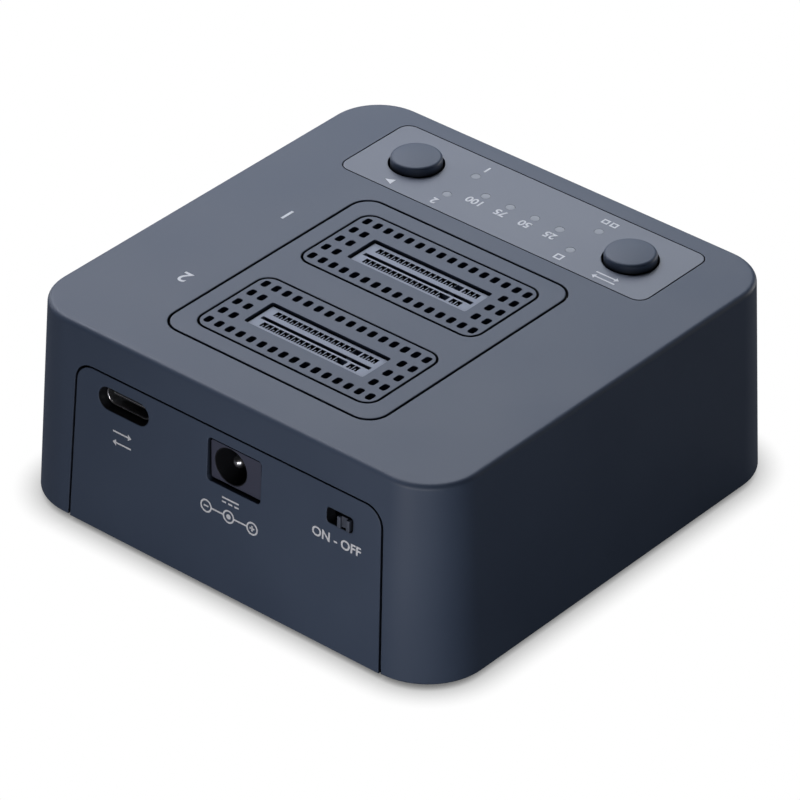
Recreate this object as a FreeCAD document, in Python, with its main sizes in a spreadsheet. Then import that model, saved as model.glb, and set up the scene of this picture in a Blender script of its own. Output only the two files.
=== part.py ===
import FreeCAD, Part
import math
import os
import re
import Sketcher

# Two-bay drive duplicator: a drafted square housing that stands on a table.
# Two sockets in the top deck take one drive stick each, on end.
# Millimetres, +Z up. The origin is the centre of the footprint on the table.
# -Y is the control side, +Y the connector side and +X the right-hand side seen from the front.

sizeTable = (
    # Housing
    ("baseSide", 82.0, "side of the square housing at its lower edge"),
    ("shellHeight", 33.0, "height of the top shell"),
    ("draftAngle", 3.0, "lean of the four walls, in degrees"),
    ("baseCornerRadius", 10.2, "upright corner radius at the lower edge"),
    ("topEdgeRadius", 1.1, "rounding where the walls meet the top"),
    ("wallThickness", 2.0, "side wall"),
    ("topThickness", 2.5, "top wall"),
    ("seamGap", 0.3, "open joint round each inset piece"),
    ("fitGap", 0.1, "play between fixed pieces that locate each other"),
    ("runGap", 0.35, "play round pieces that move"),
    # Posts moulded under the top
    ("pillarSpacing", 66.0, "corner pillars, centre to centre"),
    ("pillarDiameter", 6.5, "corner pillar"),
    ("boardBossX", 56.0, "main board bosses, centre to centre across"),
    ("boardBossY", 34.0, "main board bosses, centre to centre front to back"),
    ("boardBossCentreY", 8.0, "middle of the main board bosses"),
    ("boardBossDiameter", 5.5, "main board boss"),
    ("controlBossX", 28.0, "control board bosses, centre to centre across"),
    ("controlBossY", 13.6, "control board bosses, centre to centre front to back"),
    ("controlBossDiameter", 4.0, "control board boss"),
    # Base plate, feet and screws
    ("baseThickness", 2.5, "base plate"),
    ("supportDiameter", 5.0, "post that carries the board under a socket"),
    ("supportSpacing", 16.0, "support posts under one socket, centre to centre"),
    ("ventLength", 30.0, "slot in the base plate"),
    ("ventWidth", 2.0, "slot in the base plate"),
    ("ventPitch", 4.2, "from slot to slot"),
    ("ventCount", 5, "slots in the base plate"),
    ("ventCentreY", -20.0, "middle of the slots"),
    ("footHeight", 1.0, "how far the feet stand below the housing"),
    ("footDiameter", 10.0, "rubber foot"),
    ("footRecess", 0.8, "depth of the seat of a foot"),
    ("footEdge", 0.33, "bevel round the underside of a foot"),
    ("footSpacingX", 58.0, "feet, centre to centre across"),
    ("footSpacingY", 44.0, "feet, centre to centre front to back"),
    ("baseScrewThread", 2.5, "housing screw"),
    ("baseScrewHead", 4.6, "housing screw head"),
    ("baseScrewHeadHeight", 1.4, "housing screw head"),
    ("baseScrewLength", 10.0, "housing screw under its head"),
    ("baseScrewDrive", 1.75, "driver socket of a housing screw"),
    ("boardScrewThread", 2.0, "board screw"),
    ("boardScrewHead", 3.8, "board screw head"),
    ("boardScrewHeadHeight", 1.3, "board screw head"),
    ("boardScrewLength", 5.5, "board screw under its head"),
    ("boardScrewDrive", 1.4, "driver socket of a board screw"),
    ("screwHeadEdge", 0.34, "bevel round a screw head"),
    ("screwTipGap", 0.5, "pilot hole beyond the tip of a screw"),
    # Deck in the top, with two grilles
    ("deckWidth", 40.1, "deck across"),
    ("deckLength", 45.8, "deck front to back"),
    ("deckCornerRadius", 3.2, "deck corner"),
    ("deckCentreY", 7.88, "middle of the deck"),
    ("deckRim", 1.4, "thickness of the deck rim that rests in the shell"),
    ("deckThickness", 3.0, "deck between its grilles"),
    ("deckLedge", 1.5, "width of the seat under the deck rim"),
    ("hookWidth", 5.0, "snap hook under the deck, front to back"),
    ("hookHeight", 1.2, "snap hook from its catch to its lower end"),
    ("hookRoot", 1.2, "snap hook inside the edge of the deck"),
    ("hookReach", 0.6, "catch of a snap hook under the top wall"),
    ("hookSpacing", 25.0, "snap hooks along one side, centre to centre"),
    ("grilleWidth", 33.3, "grille across"),
    ("grilleLength", 16.2, "grille front to back"),
    ("grilleCornerRadius", 2.1, "grille corner"),
    ("grilleThickness", 1.5, "grille"),
    ("grilleLedge", 0.75, "width of the seat under a grille"),
    ("bayPitch", 22.9, "from the source bay to the target bay"),
    ("holeWidth", 1.05, "grille hole across"),
    ("holeLength", 1.6, "grille hole front to back"),
    ("holeRadius", 0.35, "grille hole corner"),
    ("holePitchX", 2.047, "grille holes across"),
    ("holePitchY", 3.133, "grille holes front to back"),
    ("holeColumns", 16, "grille holes in the outer rows"),
    ("holeInnerRows", 3, "rows of grille holes beside the socket window"),
    # Control strip
    ("stripWidth", 58.2, "control strip across"),
    ("stripLength", 16.3, "control strip front to back"),
    ("stripCornerRadius", 1.9, "control strip corner"),
    ("stripThickness", 0.8, "control strip"),
    ("stripCentreY", -27.3, "middle of the control strip"),
    ("buttonSpacing", 41.2, "two buttons, centre to centre"),
    ("buttonY", -27.45, "button centres"),
    ("buttonDiameter", 8.0, "button cap"),
    ("buttonProud", 1.3, "rim of a released button above the top"),
    ("buttonCrown", 0.25, "rise of the button's face to its middle"),
    ("buttonRimRadius", 0.5, "rounding of the button's rim"),
    ("buttonTravel", 0.5, "stroke of a button"),
    ("buttonFlange", 9.7, "collar that keeps the button in"),
    ("buttonFlangeThickness", 0.8, "collar that keeps the button in"),
    ("ledPitch", 4.74, "from lamp to lamp across"),
    ("ledCentreX", -0.45, "middle of the lamps"),
    ("ledCentreY", -27.0, "middle row of lamps"),
    ("ledStep", 3.4, "outer lamps from the middle row"),
    ("ledLength", 1.6, "lamp chip across"),
    ("ledWidth", 0.8, "lamp chip front to back"),
    ("ledHeight", 0.6, "lamp chip"),
    ("pipeDiameter", 1.3, "light pipe"),
    ("pipeBarThickness", 1.1, "bar that joins the light pipes"),
    # Boards
    ("controlBoardDepth", 8.2, "top of the control board below the top of the housing"),
    ("controlBoardWidth", 54.0, "control board across"),
    ("controlBoardLength", 17.6, "control board front to back"),
    ("controlBoardThickness", 1.2, "control board"),
    ("controlBoardRadius", 1.0, "control board corner"),
    ("mainBoardDepth", 11.55, "top of the main board below the top of the housing"),
    ("mainBoardWidth", 72.0, "main board across"),
    ("mainBoardLength", 72.1, "main board front to back"),
    ("mainBoardCentreY", 0.25, "middle of the main board"),
    ("mainBoardThickness", 1.6, "main board"),
    ("linkWidth", 14.0, "board-to-board connector across"),
    ("linkLength", 4.6, "board-to-board connector front to back"),
    ("linkWall", 0.9, "wall of the lower connector half"),
    ("linkFloor", 0.5, "floor of the lower connector half"),
    ("partGap", 1.25, "room between parts on the main board"),
    # Tact switches under the buttons
    ("tactSide", 6.0, "square switch body"),
    ("tactHeight", 3.5, "switch with its cover"),
    ("tactCover", 0.4, "metal cover"),
    ("tactEdge", 0.4, "corner of the switch"),
    ("plungerDiameter", 3.4, "switch plunger"),
    ("plungerCollar", 4.6, "collar under the cover"),
    ("plungerProud", 0.8, "released plunger above the cover"),
    # Drive sockets
    ("socketWidth", 22.0, "socket across"),
    ("socketLength", 5.8, "socket front to back"),
    ("socketRecess", 0.45, "socket top below the top of the housing"),
    ("socketGap", 0.3, "window round a socket"),
    ("slotSpan", 20.0, "card slot across"),
    ("slotWidth", 0.95, "card slot"),
    ("slotDepth", 4.6, "card slot below the socket top"),
    ("slotLeadWidth", 1.9, "card slot at its bevelled mouth"),
    ("slotLeadDepth", 0.5, "bevelled mouth"),
    ("keyX", -6.125, "key rib from the middle of the socket"),
    ("keyWidth", 1.0, "key rib"),
    ("contactPitch", 0.5, "contacts in one row"),
    ("contactWidth", 0.26, "contact blade"),
    ("contactThickness", 0.2, "contact blade"),
    ("contactRow", 1.65, "contact row from the middle of the socket"),
    ("cellWidth", 0.76, "cell that holds two contacts"),
    ("cellLength", 1.05, "cell front to back"),
    ("cellDepth", 5.0, "cell"),
    ("firstContactX", 9.25, "first contact of the front row"),
    ("longContacts", 29, "contacts on the long side of the key"),
    ("shortContacts", 5, "contacts on the short side of the key, front row"),
    ("keyContacts", 4, "contacts left out at the key"),
    # Rear panel
    ("panelTopWidth", 57.9, "rear panel where its upper corners begin"),
    ("panelBottomWidth", 59.7, "rear panel at the lower edge"),
    ("panelHeight", 26.9, "rear panel"),
    ("panelCornerRadius", 3.0, "upper corners of the rear panel"),
    ("panelLip", 0.9, "lip behind the shell round the panel"),
    ("panelLipThickness", 1.2, "lip behind the shell"),
    # USB-C connector
    ("usbX", 19.3, "connector middle"),
    ("usbWidth", 8.94, "metal shell across"),
    ("usbHeight", 3.2, "metal shell"),
    ("usbWall", 0.3, "metal shell sheet"),
    ("usbLength", 7.4, "metal shell front to back"),
    ("usbRecess", 1.3, "metal shell behind the panel face"),
    ("usbOpeningWidth", 9.8, "opening in the panel"),
    ("usbOpeningHeight", 3.8, "opening in the panel"),
    ("tongueWidth", 6.7, "tongue"),
    ("tongueThickness", 0.7, "tongue"),
    ("tongueLength", 4.45, "tongue in front of its root"),
    ("usbRoot", 2.0, "block that carries the tongue"),
    ("usbContactCount", 12, "contacts on one side of the tongue"),
    ("usbContactLength", 3.6, "contact strip on the tongue"),
    # Power inlet
    ("jackX", -2.1, "inlet body middle"),
    ("jackDepth", 11.5, "inlet middle below the top of the housing"),
    ("jackWidth", 9.5, "inlet body across"),
    ("jackHeight", 6.5, "inlet body"),
    ("jackLength", 13.2, "inlet body front to back"),
    ("jackRecess", 0.5, "inlet face behind the panel face"),
    ("jackBoreOffset", 1.0, "bore from the middle of the inlet body"),
    ("jackBore", 6.2, "bore for the plug"),
    ("jackBoreDepth", 9.5, "bore for the plug"),
    ("jackPin", 2.0, "centre pin"),
    ("jackPinRecess", 1.0, "pin tip behind the inlet face"),
    ("jackGap", 0.35, "opening round the inlet face"),
    ("jackEarY", 9.24, "middle of the ears behind the inlet face"),
    ("earWidth", 1.5, "mounting ear on the board edge"),
    ("earThickness", 0.8, "mounting ear"),
    # Power switch
    ("switchX", -21.95, "slot middle"),
    ("switchDepth", 10.95, "slot middle below the top of the housing"),
    ("slideSlotWidth", 4.9, "slot across"),
    ("slideSlotHeight", 2.55, "slot"),
    ("slideSlotRadius", 0.6, "slot corner"),
    ("slideTravel", 2.0, "stroke of the power switch"),
    ("slideHeadWidth", 2.26, "knob across"),
    ("slideHeadHeight", 1.9, "knob"),
    ("slideProud", 0.45, "knob in front of the panel face"),
    ("slideRib", 0.6, "each of the two ribs on the knob"),
    ("slideGroove", 0.5, "groove between the ribs"),
    ("slideShaftWidth", 1.4, "stem behind the knob"),
    ("slideShaftHeight", 1.2, "stem behind the knob"),
    ("slideBodyWidth", 8.6, "switch body across"),
    ("slideBodyHeight", 3.4, "switch body"),
    ("slideBodyLength", 3.8, "switch body front to back"),
    ("slideWellDepth", 2.85, "cavity in the switch body"),
    # Parts on the main board
    ("chipSide", 12.0, "duplicator chip"),
    ("chipHeight", 1.2, "duplicator chip"),
    ("padThickness", 0.5, "thermal pad"),
    ("sinkWidth", 16.0, "heat sink across"),
    ("sinkLength", 14.0, "heat sink front to back"),
    ("sinkHeight", 5.2, "heat sink"),
    ("finThickness", 0.9, "fin"),
    ("finCount", 6, "fins"),
    ("finHeight", 3.9, "fins above their base"),
    ("bridgeSide", 8.0, "bridge chip"),
    ("bridgeHeight", 0.9, "bridge chip"),
    ("bridgeX", 17.5, "bridge chips from the middle"),
    ("capacitorDiameter", 6.3, "filter capacitor"),
    ("capacitorHeight", 5.8, "filter capacitor"),
    ("inductorSide", 6.0, "power inductor"),
    ("inductorX", 20.0, "inductors from the middle"),
    ("inductorHeight", 3.0, "power inductor"),
)

doc = FreeCAD.newDocument("drive_duplicator")
sheet = doc.addObject("Spreadsheet::Sheet", "Sizes")
for row, (alias, size, note) in enumerate(sizeTable, start=1):
    sheet.set(f"A{row}", alias)
    sheet.set(f"B{row}", str(size))
    sheet.set(f"C{row}", note)
    sheet.setAlias(f"B{row}", alias)
doc.recompute()
aliases = {alias for alias, size, note in sizeTable}
subParts = []

# Places that several pieces share, as formulas in the sizes above
topLevel = "(footHeight + shellHeight)"
controlLevel = f"({topLevel} - controlBoardDepth)"
mainLevel = f"({topLevel} - mainBoardDepth)"
usbLevel = f"({mainLevel} + usbHeight / 2)"
sourceY = "(deckCentreY - bayPitch / 2)"
targetY = "(deckCentreY + bayPitch / 2)"
leanPerHeight = "tan(draftAngle)"


def linked(formula):
    """A formula in plain size names, as one that reads the sheet."""
    return re.sub(r"[A-Za-z]\w*", lambda word: sheetName(word.group()), formula)


def sheetName(word):
    return "Sizes." + word if word in aliases else word


def measure(formula):
    return float(sheet.evalExpression(linked(formula)))


def bind(item, **formulas):
    for name, formula in formulas.items():
        item.setExpression(name, linked(formula))


def rearFace(level):
    """Y of the outer rear face at a level above the table."""
    return f"(baseSide / 2 - ({level} - footHeight) * {leanPerHeight})"


# ---- Document helpers -------------------------------------------------------

def newBody(label, x="0", y="0", z="0"):
    body = doc.addObject("PartDesign::Body", label)
    body.Label = label
    for axis, formula in zip("xyz", (x, y, z)):
        body.setExpression("Placement.Base." + axis, linked(formula))
    subParts.append(body)
    return body


def addSketch(body, plane, x="0", y="0", level="0"):
    """A sketch on an origin plane of its body, moved in the plane and along its normal."""
    sketch = body.newObject("Sketcher::SketchObject", body.Name + "_sketch")
    support = [item for item in body.Origin.OriginFeatures if item.Role == plane + "_Plane"][0]
    sketch.AttachmentSupport = [(support, "")]
    sketch.MapMode = "FlatFace"
    for axis, formula in zip("xyz", (x, y, level)):
        sketch.setExpression("AttachmentOffset.Base." + axis, linked(formula))
    return sketch


def constrain(sketch, kind, *where, formula=None):
    if formula is None:
        return sketch.addConstraint(Sketcher.Constraint(kind, *where))
    index = sketch.addConstraint(Sketcher.Constraint(kind, *where, measure(formula)))
    sketch.setExpression(f"Constraints[{index}]", linked(formula))
    return index


def pin(sketch, item, point, x, y):
    """Hold one point of a sketch at x, y from the sketch's origin."""
    constrain(sketch, "DistanceX", -1, 1, item, point, formula=x)
    constrain(sketch, "DistanceY", -1, 1, item, point, formula=y)


def flat(x, y):
    return FreeCAD.Vector(x, y, 0)


def arcOf(centre, radius, start, end):
    circle = Part.Circle(centre, FreeCAD.Vector(0, 0, 1), radius)
    return Part.ArcOfCircle(circle, math.radians(start), math.radians(end))


def drawCircle(sketch, diameter, x="0", y="0"):
    centre = flat(measure(x), measure(y))
    circle = sketch.addGeometry(Part.Circle(centre, FreeCAD.Vector(0, 0, 1), measure(diameter) / 2))
    constrain(sketch, "Diameter", circle, formula=diameter)
    pin(sketch, circle, 3, x, y)


def drawCircles(sketch, diameter, places):
    for x, y in places:
        drawCircle(sketch, diameter, x, y)


def drawRectangle(sketch, width, length, x="0", y="0", radius=None):
    """A rectangle about x, y, with rounded corners where a radius is given."""
    middle = flat(measure(x), measure(y))
    halfWidth = measure(width) / 2
    halfLength = measure(length) / 2
    corner = measure(radius) if radius else 0.0
    innerX = halfWidth - corner
    innerY = halfLength - corner
    sides = (
        ((-innerX, -halfLength), (innerX, -halfLength)),
        ((halfWidth, -innerY), (halfWidth, innerY)),
        ((innerX, halfLength), (-innerX, halfLength)),
        ((-halfWidth, innerY), (-halfWidth, -innerY)),
    )
    lines = [
        sketch.addGeometry(Part.LineSegment(middle + flat(*start), middle + flat(*end)))
        for start, end in sides
    ]
    if radius:
        centres = ((innerX, -innerY), (innerX, innerY), (-innerX, innerY), (-innerX, -innerY))
        arcs = [
            sketch.addGeometry(arcOf(middle + flat(*centre), corner, 90 * turn - 90, 90 * turn))
            for turn, centre in enumerate(centres)
        ]
        for turn in range(4):
            constrain(sketch, "Tangent", lines[turn], 2, arcs[turn], 1)
            constrain(sketch, "Tangent", arcs[turn], 2, lines[(turn + 1) % 4], 1)
            if turn:
                constrain(sketch, "Equal", arcs[0], arcs[turn])
        constrain(sketch, "Radius", arcs[0], formula=radius)
        opposite = (arcs[3], 3, arcs[1], 3)
    else:
        for turn in range(4):
            constrain(sketch, "Coincident", lines[turn], 2, lines[(turn + 1) % 4], 1)
        opposite = (lines[0], 1, lines[2], 1)
    for turn in range(4):
        constrain(sketch, "Vertical" if turn % 2 else "Horizontal", lines[turn])
    constrain(sketch, "DistanceX", lines[3], 1, lines[1], 1, formula=width)
    constrain(sketch, "DistanceY", lines[0], 1, lines[2], 1, formula=length)
    centre = sketch.addGeometry(Part.Point(middle), True)
    constrain(sketch, "Symmetric", *opposite, centre, 1)
    pin(sketch, centre, 1, x, y)


def drawStadium(sketch, width, height):
    """A level slot outline with round ends, about the sketch's origin."""
    radius = measure(height) / 2
    reach = measure(width) / 2 - radius
    lower = sketch.addGeometry(Part.LineSegment(flat(-reach, -radius), flat(reach, -radius)))
    right = sketch.addGeometry(arcOf(flat(reach, 0), radius, -90, 90))
    upper = sketch.addGeometry(Part.LineSegment(flat(reach, radius), flat(-reach, radius)))
    left = sketch.addGeometry(arcOf(flat(-reach, 0), radius, 90, 270))
    for first, second in ((lower, right), (right, upper), (upper, left), (left, lower)):
        constrain(sketch, "Tangent", first, 2, second, 1)
    constrain(sketch, "Symmetric", left, 3, right, 3, -1, 1)
    constrain(sketch, "Horizontal", lower)
    constrain(sketch, "Radius", right, formula=f"({height}) / 2")
    constrain(sketch, "DistanceX", left, 3, right, 3, formula=f"({width}) - ({height})")


def drawArch(sketch, topWidth, bottomWidth, height, radius):
    """The rear panel's outline: level foot, leaning sides and rounded upper corners."""
    top = measure(topWidth) / 2
    bottom = measure(bottomWidth) / 2
    tall = measure(height)
    bend = measure(radius)
    foot = sketch.addGeometry(Part.LineSegment(flat(-bottom, 0), flat(bottom, 0)))
    right = sketch.addGeometry(Part.LineSegment(flat(bottom, 0), flat(top, tall - bend)))
    rightArc = sketch.addGeometry(arcOf(flat(top - bend, tall - bend), bend, 0, 90))
    upper = sketch.addGeometry(Part.LineSegment(flat(top - bend, tall), flat(bend - top, tall)))
    leftArc = sketch.addGeometry(arcOf(flat(bend - top, tall - bend), bend, 90, 180))
    left = sketch.addGeometry(Part.LineSegment(flat(-top, tall - bend), flat(-bottom, 0)))
    constrain(sketch, "Coincident", foot, 2, right, 1)
    constrain(sketch, "Coincident", left, 2, foot, 1)
    for first, second in ((right, rightArc), (rightArc, upper), (upper, leftArc), (leftArc, left)):
        constrain(sketch, "Tangent", first, 2, second, 1)
    constrain(sketch, "Horizontal", upper)
    constrain(sketch, "Symmetric", foot, 1, foot, 2, -1, 1)
    constrain(sketch, "Horizontal", foot)
    constrain(sketch, "Equal", left, right)
    constrain(sketch, "Equal", leftArc, rightArc)
    constrain(sketch, "Radius", rightArc, formula=radius)
    constrain(sketch, "DistanceX", foot, 1, foot, 2, formula=bottomWidth)
    constrain(sketch, "DistanceX", left, 1, right, 2, formula=topWidth)
    constrain(sketch, "DistanceY", foot, 2, upper, 1, formula=height)


def drawProfile(sketch, points, arcs=None):
    """A closed outline through points; arcs gives the radius of the sides that bulge outwards."""
    arcs = arcs or {}
    places = [flat(measure(x), measure(y)) for x, y in points]
    items = []
    for index, start in enumerate(places):
        end = places[(index + 1) % len(places)]
        if index in arcs:
            chord = end - start
            radius = measure(arcs[index])
            drop = math.sqrt(radius ** 2 - (chord.Length / 2) ** 2)
            inward = flat(-chord.y, chord.x).normalize()
            centre = start + chord * 0.5 + inward * drop
            first = math.degrees(math.atan2(start.y - centre.y, start.x - centre.x))
            last = math.degrees(math.atan2(end.y - centre.y, end.x - centre.x))
            items.append(sketch.addGeometry(arcOf(centre, radius, first, last)))
            constrain(sketch, "Radius", items[-1], formula=arcs[index])
        else:
            items.append(sketch.addGeometry(Part.LineSegment(start, end)))
    for index, (x, y) in enumerate(points):
        constrain(sketch, "Coincident", items[index - 1], 2, items[index], 1)
        pin(sketch, items[index], 1, x, y)


def addPad(body, sketch, length, both=False, reverse=False, taper=None):
    pad = body.newObject("PartDesign::Pad", body.Name + "_pad")
    pad.Profile = sketch
    pad.SideType = "Symmetric" if both else "One side"
    pad.Reversed = reverse
    bind(pad, Length=length)
    if taper:
        bind(pad, TaperAngle=taper)
    doc.recompute()
    return pad


def addPocket(body, sketch, length=None, both=False, reverse=False, taper=None):
    """Cut a sketch out of the body: to a length, or right through where none is given."""
    before = body.Shape.Volume
    pocket = body.newObject("PartDesign::Pocket", body.Name + "_pocket")
    pocket.Profile = sketch
    pocket.SideType = "Symmetric" if both else "One side"
    pocket.Reversed = reverse
    if length:
        bind(pocket, Length=length)
    else:
        pocket.Type = "ThroughAll"
    if taper:
        bind(pocket, TaperAngle=taper)
    doc.recompute()
    if body.Shape.Volume > before - 1e-6:
        raise RuntimeError(f"{body.Label}: {pocket.Name} cuts nothing")
    return pocket


def addRevolution(body, sketch):
    turned = body.newObject("PartDesign::Revolution", body.Name + "_turned")
    turned.Profile = sketch
    turned.ReferenceAxis = (sketch, ["V_Axis"])
    turned.Angle = 360
    doc.recompute()
    return turned


def addRow(body, originals, axis, pitch, count, backwards=False):
    """Repeat features along an axis of the body: count copies, pitch apart."""
    row = body.newObject("PartDesign::LinearPattern", body.Name + "_row")
    row.Originals = originals
    axes = [item for item in body.Origin.OriginFeatures if item.Role == axis + "_Axis"]
    row.Direction = (axes[0], [""])
    row.Reversed = backwards
    row.Refine = False
    bind(row, Occurrences=count, Length=f"({pitch}) * (({count}) - 1)")
    body.Tip = row
    doc.recompute()
    return row


def finishEdges(body, size, pick, bevel=False):
    """Round or bevel the edges of the body that pick chooses."""
    base = body.Tip
    chosen = [f"Edge{number}" for number, edge in enumerate(base.Shape.Edges, start=1) if pick(edge)]
    if not chosen:
        raise RuntimeError(f"{body.Label}: no edge to finish")
    kind = "Chamfer" if bevel else "Fillet"
    finish = body.newObject("PartDesign::" + kind, body.Name + "_edge")
    finish.Base = (base, chosen)
    bind(finish, **{"Size" if bevel else "Radius": size})
    doc.recompute()
    return finish


def atLevel(height):
    """Pick the edges that lie in one level plane."""
    level = measure(height)

    def pick(edge):
        box = edge.BoundBox
        return abs(box.ZMin - level) < 1e-4 and abs(box.ZMax - level) < 1e-4

    return pick


def upright(edge):
    box = edge.BoundBox
    return box.XLength < 1e-4 and box.YLength < 1e-4


def fourPlaces(spacingX, spacingY, centreY="0"):
    return [
        (f"{sideX} * ({spacingX}) / 2", f"({centreY}) + {sideY} * ({spacingY}) / 2")
        for sideX, sideY in ((1, 1), (-1, 1), (-1, -1), (1, -1))
    ]


def ledPlaces(originY="0"):
    """Eight lamps: four in the middle row and a pair at each end."""
    places = []
    for column in range(6):
        x = f"ledCentreX + {column - 2.5} * ledPitch"
        steps = (-1, 1) if column in (0, 5) else (0,)
        places += [(x, f"ledCentreY + {step} * ledStep - ({originY})") for step in steps]
    return places


# ---- Housing ----------------------------------------------------------------

pillarPlaces = fourPlaces("pillarSpacing", "pillarSpacing")
boardBossPlaces = fourPlaces("boardBossX", "boardBossY", "boardBossCentreY")
controlBossPlaces = fourPlaces("controlBossX", "controlBossY", "stripCentreY")
footPlaces = fourPlaces("footSpacingX", "footSpacingY")
buttonSides = (("start", 1), ("mode", -1))


def makeTopShell():
    body = newBody("top_shell", z="footHeight")
    outline = addSketch(body, "XY")
    drawRectangle(outline, "baseSide", "baseSide", radius="baseCornerRadius")
    addPad(body, outline, "shellHeight", taper="-draftAngle")
    finishEdges(body, "topEdgeRadius", atLevel("shellHeight"))

    hollow = addSketch(body, "XY")
    inner = "baseSide - 2 * wallThickness"
    drawRectangle(hollow, inner, inner, radius="baseCornerRadius - wallThickness")
    addPocket(body, hollow, "shellHeight - topThickness", reverse=True, taper="-draftAngle")

    ceiling = "shellHeight - topThickness"
    posts = (
        (pillarPlaces, "pillarDiameter", "baseThickness"),
        (boardBossPlaces, "boardBossDiameter", "shellHeight - mainBoardDepth"),
        (controlBossPlaces, "controlBossDiameter", "shellHeight - controlBoardDepth"),
    )
    for places, diameter, level in posts:
        post = addSketch(body, "XY", level=level)
        drawCircles(post, diameter, places)
        addPad(body, post, f"{ceiling} - ({level}) + topThickness / 2")
    pilots = (
        (pillarPlaces, "baseScrewThread", "baseThickness", "baseScrewLength"),
        (boardBossPlaces, "boardScrewThread", "shellHeight - mainBoardDepth", "boardScrewLength"),
        (controlBossPlaces, "boardScrewThread", "shellHeight - controlBoardDepth", "boardScrewLength"),
    )
    for places, thread, level, depth in pilots:
        pilot = addSketch(body, "XY", level=level)
        drawCircles(pilot, f"{thread} + fitGap", places)
        addPocket(body, pilot, depth, reverse=True)

    seat = addSketch(body, "XY", y="deckCentreY", level="shellHeight")
    drawRectangle(
        seat, "deckWidth + 2 * seamGap", "deckLength + 2 * seamGap", radius="deckCornerRadius + seamGap"
    )
    addPocket(body, seat, "deckRim")
    well = addSketch(body, "XY", y="deckCentreY", level="shellHeight")
    drawRectangle(
        well, "deckWidth - 2 * deckLedge", "deckLength - 2 * deckLedge", radius="deckCornerRadius - deckLedge"
    )
    addPocket(body, well, "topThickness + fitGap")

    strip = addSketch(body, "XY", y="stripCentreY", level="shellHeight")
    drawRectangle(
        strip, "stripWidth + 2 * seamGap", "stripLength + 2 * seamGap", radius="stripCornerRadius + seamGap"
    )
    addPocket(body, strip, "stripThickness")
    holes = addSketch(body, "XY", level="shellHeight")
    for name, side in buttonSides:
        drawCircle(holes, "buttonDiameter + 2 * runGap", f"{side} * buttonSpacing / 2", "buttonY")
    drawCircles(holes, "pipeDiameter + 2 * fitGap", ledPlaces())
    addPocket(body, holes, "topThickness + fitGap")

    gate = addSketch(body, "XZ", level="-baseSide / 2")
    drawArch(
        gate,
        "panelTopWidth + 2 * seamGap",
        "panelBottomWidth + 2 * seamGap",
        "panelHeight * cos(draftAngle) + seamGap",
        "panelCornerRadius + seamGap",
    )
    addPocket(body, gate, f"wallThickness + panelHeight * {leanPerHeight} + seamGap", reverse=True)


def makeBasePlate():
    body = newBody("base_plate", z="footHeight")
    outline = addSketch(body, "XY")
    side = f"baseSide - 2 * (wallThickness + baseThickness * {leanPerHeight} + seamGap)"
    drawRectangle(outline, side, side, radius="baseCornerRadius - wallThickness - seamGap")
    addPad(body, outline, "baseThickness")

    posts = addSketch(body, "XY", level="baseThickness / 2")
    for bayY in (sourceY, targetY):
        drawCircle(posts, "supportDiameter", "supportSpacing / 2", bayY)
        drawCircle(posts, "supportDiameter", "-supportSpacing / 2", bayY)
    addPad(body, posts, "shellHeight - mainBoardDepth - mainBoardThickness - baseThickness / 2")

    shanks = addSketch(body, "XY")
    drawCircles(shanks, "baseScrewThread + 4 * fitGap", pillarPlaces)
    addPocket(body, shanks, "baseThickness", reverse=True)
    heads = addSketch(body, "XY")
    drawCircles(heads, "baseScrewHead + 4 * fitGap", pillarPlaces)
    addPocket(body, heads, "baseScrewHeadHeight + fitGap", reverse=True)
    seats = addSketch(body, "XY")
    drawCircles(seats, "footDiameter + 2 * fitGap", footPlaces)
    addPocket(body, seats, "footRecess", reverse=True)

    vent = addSketch(body, "XY", y="ventCentreY - ventPitch * (ventCount - 1) / 2")
    drawStadium(vent, "ventLength", "ventWidth")
    slot = addPocket(body, vent, "baseThickness", reverse=True)
    addRow(body, [slot], "Y", "ventPitch", "ventCount")


def makeRearPanel():
    body = newBody("rear_panel", y="baseSide / 2", z="footHeight")
    body.Placement = FreeCAD.Placement(
        body.Placement.Base, FreeCAD.Rotation(FreeCAD.Vector(1, 0, 0), 90 + measure("draftAngle"))
    )
    body.setExpression("Placement.Rotation.Angle", linked("90 + draftAngle"))
    face = addSketch(body, "XY")
    drawArch(face, "panelTopWidth", "panelBottomWidth", "panelHeight", "panelCornerRadius")
    addPad(body, face, "wallThickness")

    lipFoot = "baseThickness + seamGap"
    lip = addSketch(body, "XY", y=lipFoot, level="wallThickness")
    drawArch(
        lip,
        "panelTopWidth + 2 * panelLip",
        "panelBottomWidth + 2 * panelLip",
        f"panelHeight + panelLip - ({lipFoot})",
        "panelCornerRadius + panelLip",
    )
    addPad(body, lip, "panelLipThickness")
    window = addSketch(body, "XY", y=lipFoot, level="wallThickness")
    drawArch(
        window,
        "panelTopWidth - 2 * panelLip",
        "panelBottomWidth - 2 * panelLip",
        f"panelHeight - panelLip - ({lipFoot})",
        "panelCornerRadius",
    )
    addPocket(body, window, "panelLipThickness", reverse=True)

    def alongFace(height):
        """Height along the leaning face at which a level port passes the middle of the wall."""
        return f"({height}) / cos(draftAngle) + wallThickness / 2 * {leanPerHeight}"

    ports = addSketch(body, "XY", x="usbX", y=alongFace(f"{usbLevel} - footHeight"))
    drawStadium(ports, "usbOpeningWidth", "usbOpeningHeight")
    addPocket(body, ports, reverse=True)
    inlet = addSketch(body, "XY", x="jackX", y=alongFace("shellHeight - jackDepth"))
    drawRectangle(inlet, "jackWidth + 2 * jackGap", "jackHeight + 2 * jackGap", radius="2 * jackGap")
    addPocket(body, inlet, reverse=True)
    slot = addSketch(body, "XY", x="switchX", y=alongFace("shellHeight - switchDepth"))
    drawRectangle(slot, "slideSlotWidth", "slideSlotHeight", radius="slideSlotRadius")
    addPocket(body, slot, reverse=True)


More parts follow.
